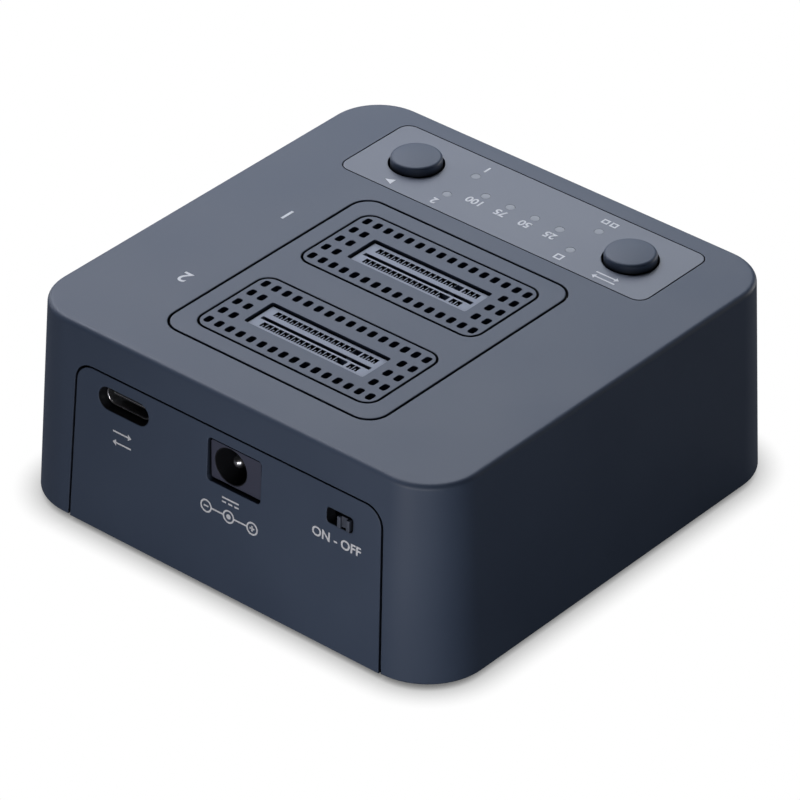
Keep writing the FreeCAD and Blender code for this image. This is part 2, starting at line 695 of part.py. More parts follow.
def makeRubberFeet():
    body = newBody("rubber_feet")
    rounds = addSketch(body, "XY")
    drawCircles(rounds, "footDiameter", footPlaces)
    addPad(body, rounds, "footHeight + footRecess")
    finishEdges(body, "footEdge", atLevel("0"), bevel=True)


def makeScrews(kind, label, places, level):
    """A set of screws driven upwards: pan heads with a driver socket below, shanks above."""
    thread, head, headHeight = f"{kind}ScrewThread", f"{kind}ScrewHead", f"{kind}ScrewHeadHeight"
    body = newBody(label, z=level)
    heads = addSketch(body, "XY")
    drawCircles(heads, head, places)
    addPad(body, heads, headHeight, reverse=True)
    finishEdges(body, "screwHeadEdge", atLevel(f"-{headHeight}"), bevel=True)
    shanks = addSketch(body, "XY")
    drawCircles(shanks, thread, places)
    addPad(body, shanks, f"{kind}ScrewLength - screwTipGap")
    drive = addSketch(body, "XY", level=f"-{headHeight}")
    for x, y in places:
        drawRectangle(drive, f"{kind}ScrewDrive", f"{kind}ScrewDrive", x, y)
    addPocket(body, drive, f"{headHeight} / 2", reverse=True)


# ---- Deck and controls ------------------------------------------------------

def makeBayDeck():
    """The inset deck: a rim on the seat in the top, two grille seats, and snap hooks under the top wall."""
    body = newBody("bay_deck", y="deckCentreY", z=topLevel)
    rim = addSketch(body, "XY", level="-deckRim")
    drawRectangle(rim, "deckWidth", "deckLength", radius="deckCornerRadius")
    addPad(body, rim, "deckRim")
    core = addSketch(body, "XY", level="-deckThickness")
    inset = "2 * (deckLedge + seamGap)"
    drawRectangle(
        core, f"deckWidth - {inset}", f"deckLength - {inset}", radius="deckCornerRadius - deckLedge - seamGap"
    )
    addPad(body, core, "deckThickness - deckRim / 2")
    for side in (-1, 1):
        seat = addSketch(body, "XY", y=f"{side} * bayPitch / 2")
        drawRectangle(
            seat,
            "grilleWidth + 2 * seamGap",
            "grilleLength + 2 * seamGap",
            radius="grilleCornerRadius + seamGap",
        )
        addPocket(body, seat, "grilleThickness")
        window = addSketch(body, "XY", y=f"{side} * bayPitch / 2")
        drawRectangle(
            window,
            "grilleWidth - 2 * grilleLedge",
            "grilleLength - 2 * grilleLedge",
            radius="grilleCornerRadius - grilleLedge",
        )
        addPocket(body, window)

    hooks = addSketch(body, "XZ", level="-hookSpacing / 2")
    edge = "(deckWidth / 2 - deckLedge - seamGap)"
    catch = "(topThickness + fitGap)"
    section = (
        (f"{edge} - hookRoot", f"-{catch}"),
        (f"{edge} - hookRoot", f"-{catch} - hookHeight"),
        (edge, f"-{catch} - hookHeight"),
        (f"{edge} + seamGap + hookReach", f"-{catch} - hookHeight / 3"),
        (f"{edge} + seamGap + hookReach", f"-{catch}"),
    )
    for side in (1, -1):
        drawProfile(hooks, [(f"{side} * ({x})", z) for x, z in section])
    pair = addPad(body, hooks, "hookWidth", both=True)
    addRow(body, [pair], "Y", "hookSpacing", "2", backwards=True)


def makeGrille(label, bayY):
    """A perforated cover: full outer rows of holes, two columns each side of the socket window."""
    body = newBody(label, y=bayY, z=topLevel)
    plate = addSketch(body, "XY", level="-grilleThickness")
    drawRectangle(plate, "grilleWidth", "grilleLength", radius="grilleCornerRadius")
    addPad(body, plate, "grilleThickness")
    window = addSketch(body, "XY")
    drawRectangle(
        window, "socketWidth + 2 * socketGap", "socketLength + 2 * socketGap", radius="socketGap"
    )
    addPocket(body, window)

    firstX = "-holePitchX * (holeColumns - 1) / 2"
    rowY = "holePitchY * (holeInnerRows + 1) / 2"
    outer = addSketch(body, "XY")
    for side in (-1, 1):
        drawRectangle(
            outer, "holeWidth", "holeLength", firstX, f"{side} * {rowY}", radius="holeRadius"
        )
    outerHoles = addPocket(body, outer, "grilleThickness")
    addRow(body, [outerHoles], "X", "holePitchX", "holeColumns")
    inner = addSketch(body, "XY", y="-holePitchY * (holeInnerRows - 1) / 2")
    for side in (-1, 1):
        for step in (0, 1):
            x = f"{side} * holePitchX * ((holeColumns - 1) / 2 - {step})"
            drawRectangle(inner, "holeWidth", "holeLength", x, radius="holeRadius")
    innerHoles = addPocket(body, inner, "grilleThickness")
    addRow(body, [innerHoles], "Y", "holePitchY", "holeInnerRows")


def makeControlStrip():
    body = newBody("control_strip", y="stripCentreY", z=topLevel)
    plate = addSketch(body, "XY", level="-stripThickness")
    drawRectangle(plate, "stripWidth", "stripLength", radius="stripCornerRadius")
    addPad(body, plate, "stripThickness")
    holes = addSketch(body, "XY")
    for name, side in buttonSides:
        drawCircle(
            holes, "buttonDiameter + 2 * runGap", f"{side} * buttonSpacing / 2", "buttonY - stripCentreY"
        )
    drawCircles(holes, "pipeDiameter + 2 * fitGap", ledPlaces("stripCentreY"))
    addPocket(body, holes)


plungerTop = f"({controlLevel} + tactHeight + plungerProud)"
collarTop = "(topThickness + runGap)"


def makeButtonCap(name, side):
    """A round cap on its collar, with a crowned face and a soft rim."""
    body = newBody(f"{name}_button_cap", f"{side} * buttonSpacing / 2", "buttonY", plungerTop)
    shoulder = f"({topLevel} - {plungerTop} - {collarTop})"
    rim = f"({topLevel} - {plungerTop} + buttonProud)"
    faceRadius = "(buttonDiameter / 2 - buttonRimRadius)"
    section = addSketch(body, "XZ")
    points = (
        ("0", "0"),
        ("plungerDiameter / 2 + runGap", "0"),
        ("plungerDiameter / 2 + runGap", f"{shoulder} - buttonFlangeThickness"),
        ("buttonFlange / 2", f"{shoulder} - buttonFlangeThickness"),
        ("buttonFlange / 2", shoulder),
        ("buttonDiameter / 2", shoulder),
        ("buttonDiameter / 2", f"{rim} - buttonRimRadius"),
        (faceRadius, rim),
        ("0", f"{rim} + buttonCrown"),
    )
    crown = f"({faceRadius} ^ 2 + buttonCrown ^ 2) / (2 * buttonCrown)"
    drawProfile(section, points, {6: "buttonRimRadius", 7: crown})
    addRevolution(body, section)


def makeTactSwitch(name, side):
    """The switch under a button: a hollow body, a metal cover and a collared plunger."""
    x = f"{side} * buttonSpacing / 2"
    body = newBody(f"{name}_switch_body", x, "buttonY", controlLevel)
    block = addSketch(body, "XY")
    drawRectangle(block, "tactSide", "tactSide")
    addPad(body, block, "tactHeight - tactCover")
    finishEdges(body, "tactEdge", upright, bevel=True)
    well = addSketch(body, "XY", level="tactHeight - tactCover")
    drawCircle(well, "plungerCollar + 2 * runGap")
    addPocket(body, well, "tactHeight - tactCover - 4 * fitGap")

    cover = newBody(f"{name}_switch_cover", x, "buttonY", f"{controlLevel} + tactHeight - tactCover")
    plate = addSketch(cover, "XY")
    drawRectangle(plate, "tactSide", "tactSide", radius="tactEdge")
    addPad(cover, plate, "tactCover")
    hole = addSketch(cover, "XY")
    drawCircle(hole, "plungerDiameter + 2 * runGap")
    addPocket(cover, hole, reverse=True)

    plunger = newBody(f"{name}_switch_plunger", x, "buttonY", plungerTop)
    head = addSketch(plunger, "XY")
    drawCircle(head, "plungerDiameter")
    addPad(plunger, head, "plungerProud + tactCover + runGap", reverse=True)
    collar = addSketch(plunger, "XY", level="-(plungerProud + tactCover + runGap)")
    drawCircle(collar, "plungerCollar")
    addPad(plunger, collar, "tactHeight / 4", reverse=True)


def makeLightPipes():
    """Eight light pipes moulded on one bar that lies under the top."""
    body = newBody("light_pipes", z=topLevel)
    bar = addSketch(body, "XY", x="ledCentreX", y="ledCentreY", level="-topThickness")
    drawRectangle(
        bar, "5 * ledPitch + 2 * pipeDiameter", "2 * ledStep + 1.6 * pipeDiameter", radius="pipeDiameter / 2"
    )
    addPad(body, bar, "pipeBarThickness", reverse=True)
    lampTop = "(controlBoardDepth - ledHeight - fitGap)"
    pipes = addSketch(body, "XY", level=f"-{lampTop}")
    drawCircles(pipes, "pipeDiameter", ledPlaces())
    addPad(body, pipes, lampTop)


# ---- Boards and what they carry ---------------------------------------------

jackLevel = f"({topLevel} - jackDepth)"
jackFaceY = f"({rearFace(jackLevel)} - jackRecess)"
switchLevel = f"({topLevel} - switchDepth)"
switchHeadBack = f"({rearFace(switchLevel)} - wallThickness - 2 * runGap)"
switchBodyY = f"({switchHeadBack} - runGap)"


def makeBlocks(label, places, width, length, height, level, edge=None):
    """One or more equal blocks standing on a level, with softened upright edges."""
    body = newBody(label, z=level)
    outline = addSketch(body, "XY")
    for x, y in places:
        drawRectangle(outline, width, length, x, y)
    addPad(body, outline, height)
    if edge:
        finishEdges(body, edge, upright, bevel=True)
    return body


def makeControlBoard():
    body = newBody("control_board", y="stripCentreY", z=f"{controlLevel} - controlBoardThickness")
    outline = addSketch(body, "XY")
    drawRectangle(outline, "controlBoardWidth", "controlBoardLength", radius="controlBoardRadius")
    addPad(body, outline, "controlBoardThickness")
    holes = addSketch(body, "XY")
    drawCircles(holes, "boardScrewThread + 2 * fitGap", fourPlaces("controlBossX", "controlBossY"))
    addPocket(body, holes, reverse=True)


def makeMainBoard():
    """The main board, notched round the corner pillars, the power inlet and the power switch."""
    body = newBody("main_board", y="mainBoardCentreY", z=f"{mainLevel} - mainBoardThickness")
    outline = addSketch(body, "XY")
    drawRectangle(outline, "mainBoardWidth", "mainBoardLength", radius="pillarDiameter")
    addPad(body, outline, "mainBoardThickness")
    corners = addSketch(body, "XY", y="-mainBoardCentreY")
    drawCircles(corners, "pillarDiameter + 4 * runGap", pillarPlaces)
    addPocket(body, corners, reverse=True)
    rearEdge = "mainBoardLength / 2"
    inletReach = f"(mainBoardCentreY + {rearEdge} - {jackFaceY} + jackLength + fitGap)"
    switchReach = f"(mainBoardCentreY + {rearEdge} - {switchBodyY} + slideBodyLength + fitGap)"
    notches = addSketch(body, "XY")
    drawRectangle(notches, "jackWidth + 2 * fitGap", f"2 * {inletReach}", "jackX", rearEdge)
    drawRectangle(notches, "slideBodyWidth + 2 * fitGap", f"2 * {switchReach}", "switchX", rearEdge)
    addPocket(body, notches, reverse=True)
    holes = addSketch(body, "XY", y="-mainBoardCentreY")
    drawCircles(holes, "boardScrewThread + 2 * fitGap", boardBossPlaces)
    addPocket(body, holes, reverse=True)


def makeBoardLink():
    """The stacking connector between the two boards."""
    gap = f"({controlLevel} - controlBoardThickness - {mainLevel})"
    lower = newBody("link_socket", y="stripCentreY", z=mainLevel)
    outline = addSketch(lower, "XY")
    drawRectangle(outline, "linkWidth", "linkLength")
    addPad(lower, outline, f"{gap} - 2 * fitGap")
    well = addSketch(lower, "XY", level="linkFloor")
    drawRectangle(well, "linkWidth - 2 * linkWall", "linkLength - 2 * linkWall")
    addPocket(lower, well, gap, reverse=True)
    upper = newBody("link_plug", y="stripCentreY", z=f"{controlLevel} - controlBoardThickness")
    outline = addSketch(upper, "XY")
    drawRectangle(outline, "linkWidth - 2 * linkWall - 2 * fitGap", "linkLength - 2 * linkWall - 2 * fitGap")
    addPad(upper, outline, f"{gap} - linkFloor - fitGap", reverse=True)


def contactPlaces():
    """Row side, x of the first contact, step direction and count, for the four contact groups."""
    shortStart = "(longContacts + keyContacts) * contactPitch"
    return (
        (-1, "firstContactX", "longContacts"),
        (-1, f"firstContactX - {shortStart}", "shortContacts"),
        (1, "firstContactX - contactPitch / 2", "longContacts"),
        (1, f"firstContactX - contactPitch / 2 - {shortStart}", "shortContacts - 1"),
    )


def makeDriveSocket(name, bayY):
    """An upright card-edge socket: keyed slot with a bevelled mouth, and a row of cells each side."""
    height = "(mainBoardDepth - socketRecess)"
    body = newBody(f"{name}_socket", y=bayY, z=mainLevel)
    outline = addSketch(body, "XY")
    drawRectangle(outline, "socketWidth", "socketLength")
    addPad(body, outline, height)
    finishEdges(body, "socketGap", upright)

    slot = addSketch(body, "XY", level=height)
    keyRight = "(keyX + keyWidth / 2)"
    keyLeft = "(keyX - keyWidth / 2)"
    drawRectangle(slot, f"slotSpan / 2 - {keyRight}", "slotWidth", f"(slotSpan / 2 + {keyRight}) / 2")
    drawRectangle(slot, f"{keyLeft} + slotSpan / 2", "slotWidth", f"({keyLeft} - slotSpan / 2) / 2")
    addPocket(body, slot, "slotDepth")
    mouth = addSketch(body, "YZ", y=height)
    points = (
        ("-slotWidth / 2", "-slotLeadDepth"),
        ("slotWidth / 2", "-slotLeadDepth"),
        ("slotLeadWidth / 2", "0"),
        ("-slotLeadWidth / 2", "0"),
    )
    drawProfile(mouth, points)
    addPocket(body, mouth, "slotSpan + slotWidth", both=True)

    for side, firstX, count in contactPlaces():
        cells = f"ceil(({count}) / 2)"
        cell = addSketch(body, "XY", level=height)
        drawRectangle(
            cell, "cellWidth", "cellLength", f"{firstX} - contactPitch / 2", f"{side} * contactRow"
        )
        cut = addPocket(body, cell, "cellDepth")
        addRow(body, [cut], "X", "2 * contactPitch", cells, backwards=True)
    keys = addSketch(body, "XY", level=height)
    for side in (-1, 1):
        drawRectangle(keys, "keyWidth + contactPitch / 2", "cellLength", "keyX", f"{side} * contactRow")
    addPocket(body, keys, "cellDepth")


def makeSocketContacts(name, bayY):
    """Spring blades, one in each half cell: a leg with its head folded over towards the slot."""
    body = newBody(f"{name}_contacts", y=bayY, z=f"{mainLevel} + mainBoardDepth - socketRecess - cellDepth")
    for side, firstX, count in contactPlaces():
        outer = "(contactRow + cellLength / 2 - fitGap)"
        inner = "(contactRow - cellLength / 2 + fitGap)"
        bladeTop = "(cellDepth - slotLeadDepth)"
        section = addSketch(body, "YZ", level=firstX)
        points = [
            (outer, "fitGap"),
            (outer, bladeTop),
            (inner, f"{bladeTop} - contactThickness"),
            (inner, f"{bladeTop} - cellDepth / 3"),
            (f"{inner} + contactThickness", f"{bladeTop} - cellDepth / 3"),
            (f"{inner} + contactThickness", f"{bladeTop} - 2 * contactThickness"),
            (f"{outer} - contactThickness", f"{bladeTop} - 2 * contactThickness"),
            (f"{outer} - contactThickness", "fitGap"),
        ]
        drawProfile(section, [(f"{side} * ({y})", z) for y, z in points])
        blade = addPad(body, section, "contactWidth", both=True)
        addRow(body, [blade], "X", "contactPitch", count, backwards=True)


def makeUsbConnector():
    faceY = f"({rearFace(usbLevel)} - usbRecess)"
    shell = newBody("usb_c_shell", "usbX", faceY, usbLevel)
    outer = addSketch(shell, "XZ")
    drawStadium(outer, "usbWidth", "usbHeight")
    addPad(shell, outer, "usbLength")
    bore = addSketch(shell, "XZ")
    drawStadium(bore, "usbWidth - 2 * usbWall", "usbHeight - 2 * usbWall")
    addPocket(shell, bore, "usbLength - usbWall", reverse=True)

    core = newBody("usb_c_tongue", "usbX", f"{faceY} - usbLength + usbWall", usbLevel)
    root = addSketch(core, "XZ")
    innerWidth = "usbWidth - 2 * usbWall - 2 * fitGap"
    innerHeight = "usbHeight - 2 * usbWall - 2 * fitGap"
    drawStadium(root, innerWidth, innerHeight)
    addPad(core, root, "usbRoot", reverse=True)
    tongue = addSketch(core, "XZ")
    drawRectangle(tongue, "tongueWidth", "tongueThickness")
    addPad(core, tongue, "usbRoot + tongueLength", reverse=True)

    strips = newBody("usb_c_contacts", "usbX", f"{faceY} - usbLength + usbWall + usbRoot", usbLevel)
    stripPitch = "(tongueWidth / (usbContactCount + 1))"
    pads = []
    for side in (1, -1):
        level = f"{side} * tongueThickness / 2"
        section = addSketch(strips, "XY", x=f"-{stripPitch} * (usbContactCount - 1) / 2", level=level)
        drawRectangle(section, f"{stripPitch} / 2", "usbContactLength", "0", "usbContactLength / 2 + fitGap")
        pads.append(addPad(strips, section, "fitGap / 2", reverse=side < 0))
    addRow(strips, pads, "X", stripPitch, "usbContactCount")


def makePowerInlet():
    """The round power inlet: a moulded body let into the board, its centre pin and its side spring."""
    body = newBody("dc_inlet", "jackX", jackFaceY, jackLevel)
    block = addSketch(body, "XZ")
    drawRectangle(block, "jackWidth", "jackHeight", radius="jackGap")
    addPad(body, block, "jackLength")
    ears = addSketch(body, "XY", y="-jackEarY", level=f"{mainLevel} - {jackLevel}")
    drawRectangle(ears, "jackWidth + 2 * earWidth", "jackLength / 3")
    addPad(body, ears, "earThickness")
    bore = addSketch(body, "XZ", x="jackBoreOffset")
    drawCircle(bore, "jackBore")
    addPocket(body, bore, "jackBoreDepth", reverse=True)
    seat = addSketch(body, "XZ", x="jackBoreOffset", level="jackBoreDepth")
    drawCircle(seat, "jackPin")
    addPocket(body, seat, "jackLength - jackBoreDepth - fitGap", reverse=True)

    centre = newBody("dc_pin", "jackX + jackBoreOffset", f"{jackFaceY} - jackLength + 2 * fitGap", jackLevel)
    shaft = "(jackLength - 2 * fitGap - jackPinRecess)"
    turned = addSketch(centre, "XY")
    radius = "(jackPin / 2 - fitGap / 4)"
    points = (("0", "0"), (radius, "0"), (radius, f"{shaft} - {radius}"), ("0", shaft))
    drawProfile(turned, points, {2: radius})
    addRevolution(centre, turned)

    spring = newBody("dc_spring", "jackX + jackBoreOffset", jackFaceY, jackLevel)
    leaf = addSketch(spring, "XY")
    wallX = "(jackBore / 2 - runGap)"
    sheetThickness = "(2 * fitGap)"
    bent = (
        (f"-{wallX}", "-jackBoreDepth + fitGap"),
        (f"-{wallX} + {sheetThickness}", "-jackBoreDepth + fitGap"),
        (f"-{wallX} + 3.5 * {sheetThickness}", "-jackBoreDepth / 2"),
        (f"-{wallX} + {sheetThickness}", "-jackBoreDepth / 5"),
        (f"-{wallX}", "-jackBoreDepth / 5"),
        (f"-{wallX} + 2.5 * {sheetThickness}", "-jackBoreDepth / 2"),
    )
    drawProfile(leaf, bent)
    addPad(spring, leaf, "jackBore / 4", both=True)


def makePowerSwitch():
    """The slide switch behind the rear panel, and its two-ribbed knob at the off end."""
    body = newBody("power_switch_body", "switchX", switchBodyY, switchLevel)
    block = addSketch(body, "XZ")
    drawRectangle(block, "slideBodyWidth", "slideBodyHeight")
    addPad(body, block, "slideBodyLength")
    ears = addSketch(body, "XY", y="-slideBodyLength / 2", level=f"{mainLevel} - {switchLevel}")
    drawRectangle(ears, "slideBodyWidth + 2 * earWidth", "slideBodyLength * 0.8")
    addPad(body, ears, "earThickness")
    well = addSketch(body, "XZ")
    drawRectangle(
        well, "slideShaftWidth + slideTravel + 2 * runGap", "slideShaftHeight + 2 * runGap"
    )
    addPocket(body, well, "slideWellDepth", reverse=True)

    knob = newBody("power_switch_knob", "switchX - slideTravel / 2", switchHeadBack, switchLevel)
    head = addSketch(knob, "XZ")
    drawRectangle(head, "slideHeadWidth", "slideHeadHeight", radius="slideProud / 3")
    reach = f"({rearFace(switchLevel)} + slideProud - {switchHeadBack})"
    addPad(knob, head, reach, reverse=True)
    groove = addSketch(knob, "XZ", level=f"-{reach}")
    drawRectangle(groove, "slideHeadWidth - 2 * slideRib", "slideHeadHeight * 1.2")
    addPocket(knob, groove, "slideGroove", reverse=True)
    shaft = addSketch(knob, "XZ")
    drawRectangle(shaft, "slideShaftWidth", "slideShaftHeight")
    addPad(knob, shaft, "slideWellDepth")


def makeHeatSink():
    level = f"{mainLevel} + chipHeight + padThickness"
    body = newBody("heat_sink", y="deckCentreY", z=level)
    base = addSketch(body, "XY")
    drawRectangle(base, "sinkWidth", "sinkLength")
    addPad(body, base, "sinkHeight")
    finGap = "((sinkWidth - finThickness) / (finCount - 1))"
    channel = addSketch(body, "XY", x=f"-{finGap} * (finCount - 2) / 2", level="sinkHeight")
    drawRectangle(channel, f"{finGap} - finThickness", "sinkLength * 1.1")
    cut = addPocket(body, channel, "finHeight")
    addRow(body, [cut], "X", finGap, "finCount - 1")


def makeCapacitors():
    body = newBody("filter_capacitors", z=mainLevel)
    step = "(jackWidth / 2 + earWidth + capacitorDiameter / 2 + partGap)"
    places = [(f"jackX + {side} * {step}", f"{jackFaceY} - jackEarY") for side in (-1, 1)]
    base = addSketch(body, "XY")
    for x, y in places:
        drawRectangle(base, "capacitorDiameter", "capacitorDiameter", x, y)
    addPad(body, base, "capacitorHeight / 8")
    cans = addSketch(body, "XY")
    drawCircles(cans, "capacitorDiameter - fitGap", places)
    addPad(body, cans, "capacitorHeight")
    finishEdges(body, "capacitorHeight / 20", atLevel("capacitorHeight"), bevel=True)


makeTopShell()
makeBasePlate()
makeRearPanel()
makeRubberFeet()
makeScrews("base", "base_screws", pillarPlaces, "footHeight + baseScrewHeadHeight + fitGap")
makeBayDeck()
makeGrille("source_grille", sourceY)
makeGrille("target_grille", targetY)
makeControlStrip()
for name, side in buttonSides:
    makeButtonCap(name, side)
    makeTactSwitch(name, side)
makeLightPipes()
makeBlocks("status_leds", ledPlaces(), "ledLength", "ledWidth", "ledHeight", controlLevel)
makeControlBoard()
makeScrews("board", "control_board_screws", controlBossPlaces, f"{controlLevel} - controlBoardThickness")
makeMainBoard()
makeScrews("board", "main_board_screws", boardBossPlaces, f"{mainLevel} - mainBoardThickness")
makeBoardLink()
for name, bayY in (("source", sourceY), ("target", targetY)):
    makeDriveSocket(name, bayY)
    makeSocketContacts(name, bayY)
makeUsbConnector()
makePowerInlet()
makePowerSwitch()
makeBlocks("duplicator_chip", [("0", "deckCentreY")], "chipSide", "chipSide", "chipHeight", mainLevel,
           "chipSide / 30")
makeBlocks("thermal_pad", [("0", "deckCentreY")], "chipSide", "chipSide", "padThickness",
           f"{mainLevel} + chipHeight")
makeHeatSink()
makeBlocks("bridge_chips", [("bridgeX", "deckCentreY"), ("-bridgeX", "deckCentreY")], "bridgeSide",
           "bridgeSide", "bridgeHeight", mainLevel, "bridgeSide / 30")
inductorY = f"{targetY} + inductorSide"
makeBlocks("power_inductors", [("inductorX", inductorY), ("-inductorX", inductorY)], "inductorSide",
           "inductorSide", "inductorHeight", mainLevel, "inductorSide / 8")
makeCapacitors()

doc.recompute()
os.makedirs("parts", exist_ok=True)
for item in doc.Objects:
    if "Invalid" in item.State or "Error" in item.State:
        raise RuntimeError(f"{item.Name} is {item.State}")
for body in subParts:
    if body.Shape.isNull() or not body.Shape.isValid():
        raise RuntimeError(f"{body.Label} has no valid shape")
    body.Shape.exportStep(f"parts/{body.Label}.step")
    print(body.Label, len(body.Shape.Solids), round(body.Shape.Volume, 2))
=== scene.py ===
import math

import bmesh
import bpy
from mathutils import Matrix, Vector
from mathutils.geometry import delaunay_2d_cdt


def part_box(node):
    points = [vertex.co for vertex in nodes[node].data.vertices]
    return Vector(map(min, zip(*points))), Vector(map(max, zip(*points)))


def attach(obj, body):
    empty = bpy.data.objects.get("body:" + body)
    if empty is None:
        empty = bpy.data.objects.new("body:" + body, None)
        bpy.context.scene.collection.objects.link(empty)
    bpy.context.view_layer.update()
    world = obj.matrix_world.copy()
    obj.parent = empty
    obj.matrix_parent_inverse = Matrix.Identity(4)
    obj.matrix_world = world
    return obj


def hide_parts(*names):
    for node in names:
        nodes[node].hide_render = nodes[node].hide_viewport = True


# Two-bay drive duplicator: surfaces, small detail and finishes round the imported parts.
# Seen from the front, +X is right. The controls are at -Y and the connectors at +Y.

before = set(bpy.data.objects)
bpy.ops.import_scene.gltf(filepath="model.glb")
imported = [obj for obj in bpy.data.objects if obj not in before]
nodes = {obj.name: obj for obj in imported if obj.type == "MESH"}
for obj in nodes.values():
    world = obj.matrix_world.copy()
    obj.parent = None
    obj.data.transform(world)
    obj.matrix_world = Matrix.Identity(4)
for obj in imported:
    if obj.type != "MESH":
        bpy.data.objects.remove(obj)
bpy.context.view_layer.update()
mm = 0.001
print("frame loaded:", len(nodes), "nodes")


def scaled(size):
    # millimetres to metres; whole numbers are counts and stay
    if isinstance(size, tuple):
        return tuple(scaled(item) for item in size)
    return size * mm if isinstance(size, float) else size


def metres(**sizes):
    return {name: scaled(size) for name, size in sizes.items()}


# Outlines and swept surfaces

def roundedLoop(width, length, radius, x=0.0, y=0.0, steps=8):
    # a rounded rectangle about x, y, anticlockwise
    points = []
    for corner, (sideX, sideY) in enumerate(((1, 1), (-1, 1), (-1, -1), (1, -1))):
        for step in range(steps + 1):
            turn = math.radians(90 * (corner + step / steps))
            spot = (
                x + sideX * (width / 2 - radius) + radius * math.cos(turn),
                y + sideY * (length / 2 - radius) + radius * math.sin(turn),
            )
            if not points or math.dist(spot, points[-1]) > 1e-8:
                points.append(spot)
    return points


def circleLoop(radius, x=0.0, y=0.0, steps=40):
    turns = [2 * math.pi * step / steps for step in range(steps)]
    return [(x + radius * math.cos(turn), y + radius * math.sin(turn)) for turn in turns]


def archLoop(topWidth, footWidth, height, radius, x=0.0, grow=0.0, foot=0.0, steps=8):
    # level foot, leaning sides and rounded upper corners
    lean = math.atan2((footWidth - topWidth) / 2, height - radius)
    points = [(x - footWidth / 2 - grow, foot - grow), (x + footWidth / 2 + grow, foot - grow)]
    turns = [lean + (math.pi / 2 - lean) * step / steps for step in range(steps + 1)]
    for side, order in ((1, turns), (-1, turns[::-1])):
        for turn in order:
            points.append((
                x + side * (topWidth / 2 - radius + (radius + grow) * math.cos(turn)),
                foot + height - radius + (radius + grow) * math.sin(turn),
            ))
    return points


def plateAt(width, length, radius, x=0.0, y=0.0, steps=8):
    # a rounded rectangle that can grow by an offset
    return lambda grow: roundedLoop(width + 2 * grow, length + 2 * grow, radius + grow, x, y, steps)


def circleAt(radius, x=0.0, y=0.0, steps=40):
    return lambda grow: circleLoop(radius + grow, x, y, steps)


def boxAt(node, radius):
    low, high, middle = place(node)
    return plateAt(high.x - low.x, high.y - low.y, radius, middle.x, middle.y)


def softProfile(*points, steps=3):
    # points are (grow, level), or (grow, level, radius) where a corner is rounded
    result = []
    for index, point in enumerate(points):
        here = Vector(point[:2])
        if len(point) < 3:
            result.append(tuple(here))
            continue
        before = (Vector(points[index - 1][:2]) - here).normalized()
        after = (Vector(points[index + 1][:2]) - here).normalized()
        half = before.angle(after) / 2
        centre = here + (before + after).normalized() * point[2] / math.sin(half)
        reach = point[2] / math.tan(half)
        first = here + before * reach - centre
        last = here + after * reach - centre
        sweep = first.angle_signed(last)
        for step in range(steps + 1):
            turned = first.copy()
            turned.rotate(Matrix.Rotation(-sweep * step / steps, 2))
            result.append(tuple(centre + turned))
    return result


def edged(edge, top, *below, grow=0.0, lead=-4):
    # a profile from a level top over a rounded edge; a positive lead starts outside the outline
    return softProfile((grow + lead * edge, top), (grow, top, edge), *below)


def addRing(mesh, points, level):
    return [mesh.verts.new((x, y, level)) for x, y in points]


def addStack(mesh, loopAt, profile, closed=False):
    # rings of one outline at each step of a profile, joined by faces
    rings = [addRing(mesh, loopAt(grow), level) for grow, level in profile]
    pairs = list(zip(rings, rings[1:]))
    if closed:
        pairs.append((rings[-1], rings[0]))
    for lower, upper in pairs:
        for index, corner in enumerate(lower):
            after = (index + 1) % len(lower)
            mesh.faces.new((corner, lower[after], upper[after], upper[index]))
    return rings[0], rings[-1]


def fillFlat(mesh, *rings):
    # a flat surface inside the first ring, with the other rings as holes
    corners = [corner for ring in rings for corner in ring]
    spots = [corner.co.xy / mm for corner in corners]
    loops = []
    for ring in rings:
        start = len(loops[-1]) + loops[-1][0] if loops else 0
        loops.append(list(range(start, start + len(ring))))
    keepHoles = 5
    filled = delaunay_2d_cdt(spots, [], loops, keepHoles, 1e-6)
    sources = filled[3]
    for face in filled[2]:
        mesh.faces.new([corners[sources[index][0]] for index in face])


def addSolid(mesh, loopAt, profile):
    for ring in addStack(mesh, loopAt, profile):
        mesh.faces.new(ring)


def addBand(mesh, loopAt, inner, outer, low, high):
    # a closed band between two offsets of an outline
    addStack(mesh, loopAt, [(inner, low), (outer, low), (outer, high), (inner, high)], closed=True)


def addPlate(mesh, *stacks):
    # an outline and its through holes, each a loop and a profile, with flat faces between them
    for rings in zip(*[addStack(mesh, *stack) for stack in stacks]):
        fillFlat(mesh, *rings)


def addTurned(mesh, profile, x=0.0, y=0.0, steps=40):
    # a turned shape about an upright axis
    addSolid(mesh, circleAt(0.0, x, y, steps), profile)


def addPrism(mesh, points, low, high):
    addSolid(mesh, lambda grow: points, [(0, low), (0, high)])


def addBlock(mesh, width, length, low, high, x=0.0, y=0.0):
    addPrism(mesh, roundedLoop(width, length, 0.0, x, y, steps=1), low, high)


def addSideways(mesh, points, near, far):
    # an outline in x and z, carried along y
    rings = [[mesh.verts.new((x, y, z)) for x, z in points] for y in (near, far)]
    for index in range(len(points)):
        after = (index + 1) % len(points)
        mesh.faces.new((rings[0][index], rings[0][after], rings[1][after], rings[1][index]))
    for ring in rings:
        mesh.faces.new(ring)


# Objects and modifiers

def addObject(name, data):
    piece = bpy.data.objects.new(name, data)
    bpy.context.scene.collection.objects.link(piece)
    return piece


def newPiece(name, mesh, matrix=None):
    bmesh.ops.remove_doubles(mesh, verts=mesh.verts[:], dist=1e-7)
    bmesh.ops.recalc_face_normals(mesh, faces=mesh.faces[:])
    if matrix is not None:
        mesh.transform(matrix)
    data = bpy.data.meshes.new(name)
    mesh.to_mesh(data)
    mesh.free()
    return addObject(name, data)


def reopened(piece):
    # the piece's mesh, free to be added to
    mesh = bmesh.new()
    mesh.from_mesh(piece.data)
    bpy.data.objects.remove(piece)
    return mesh


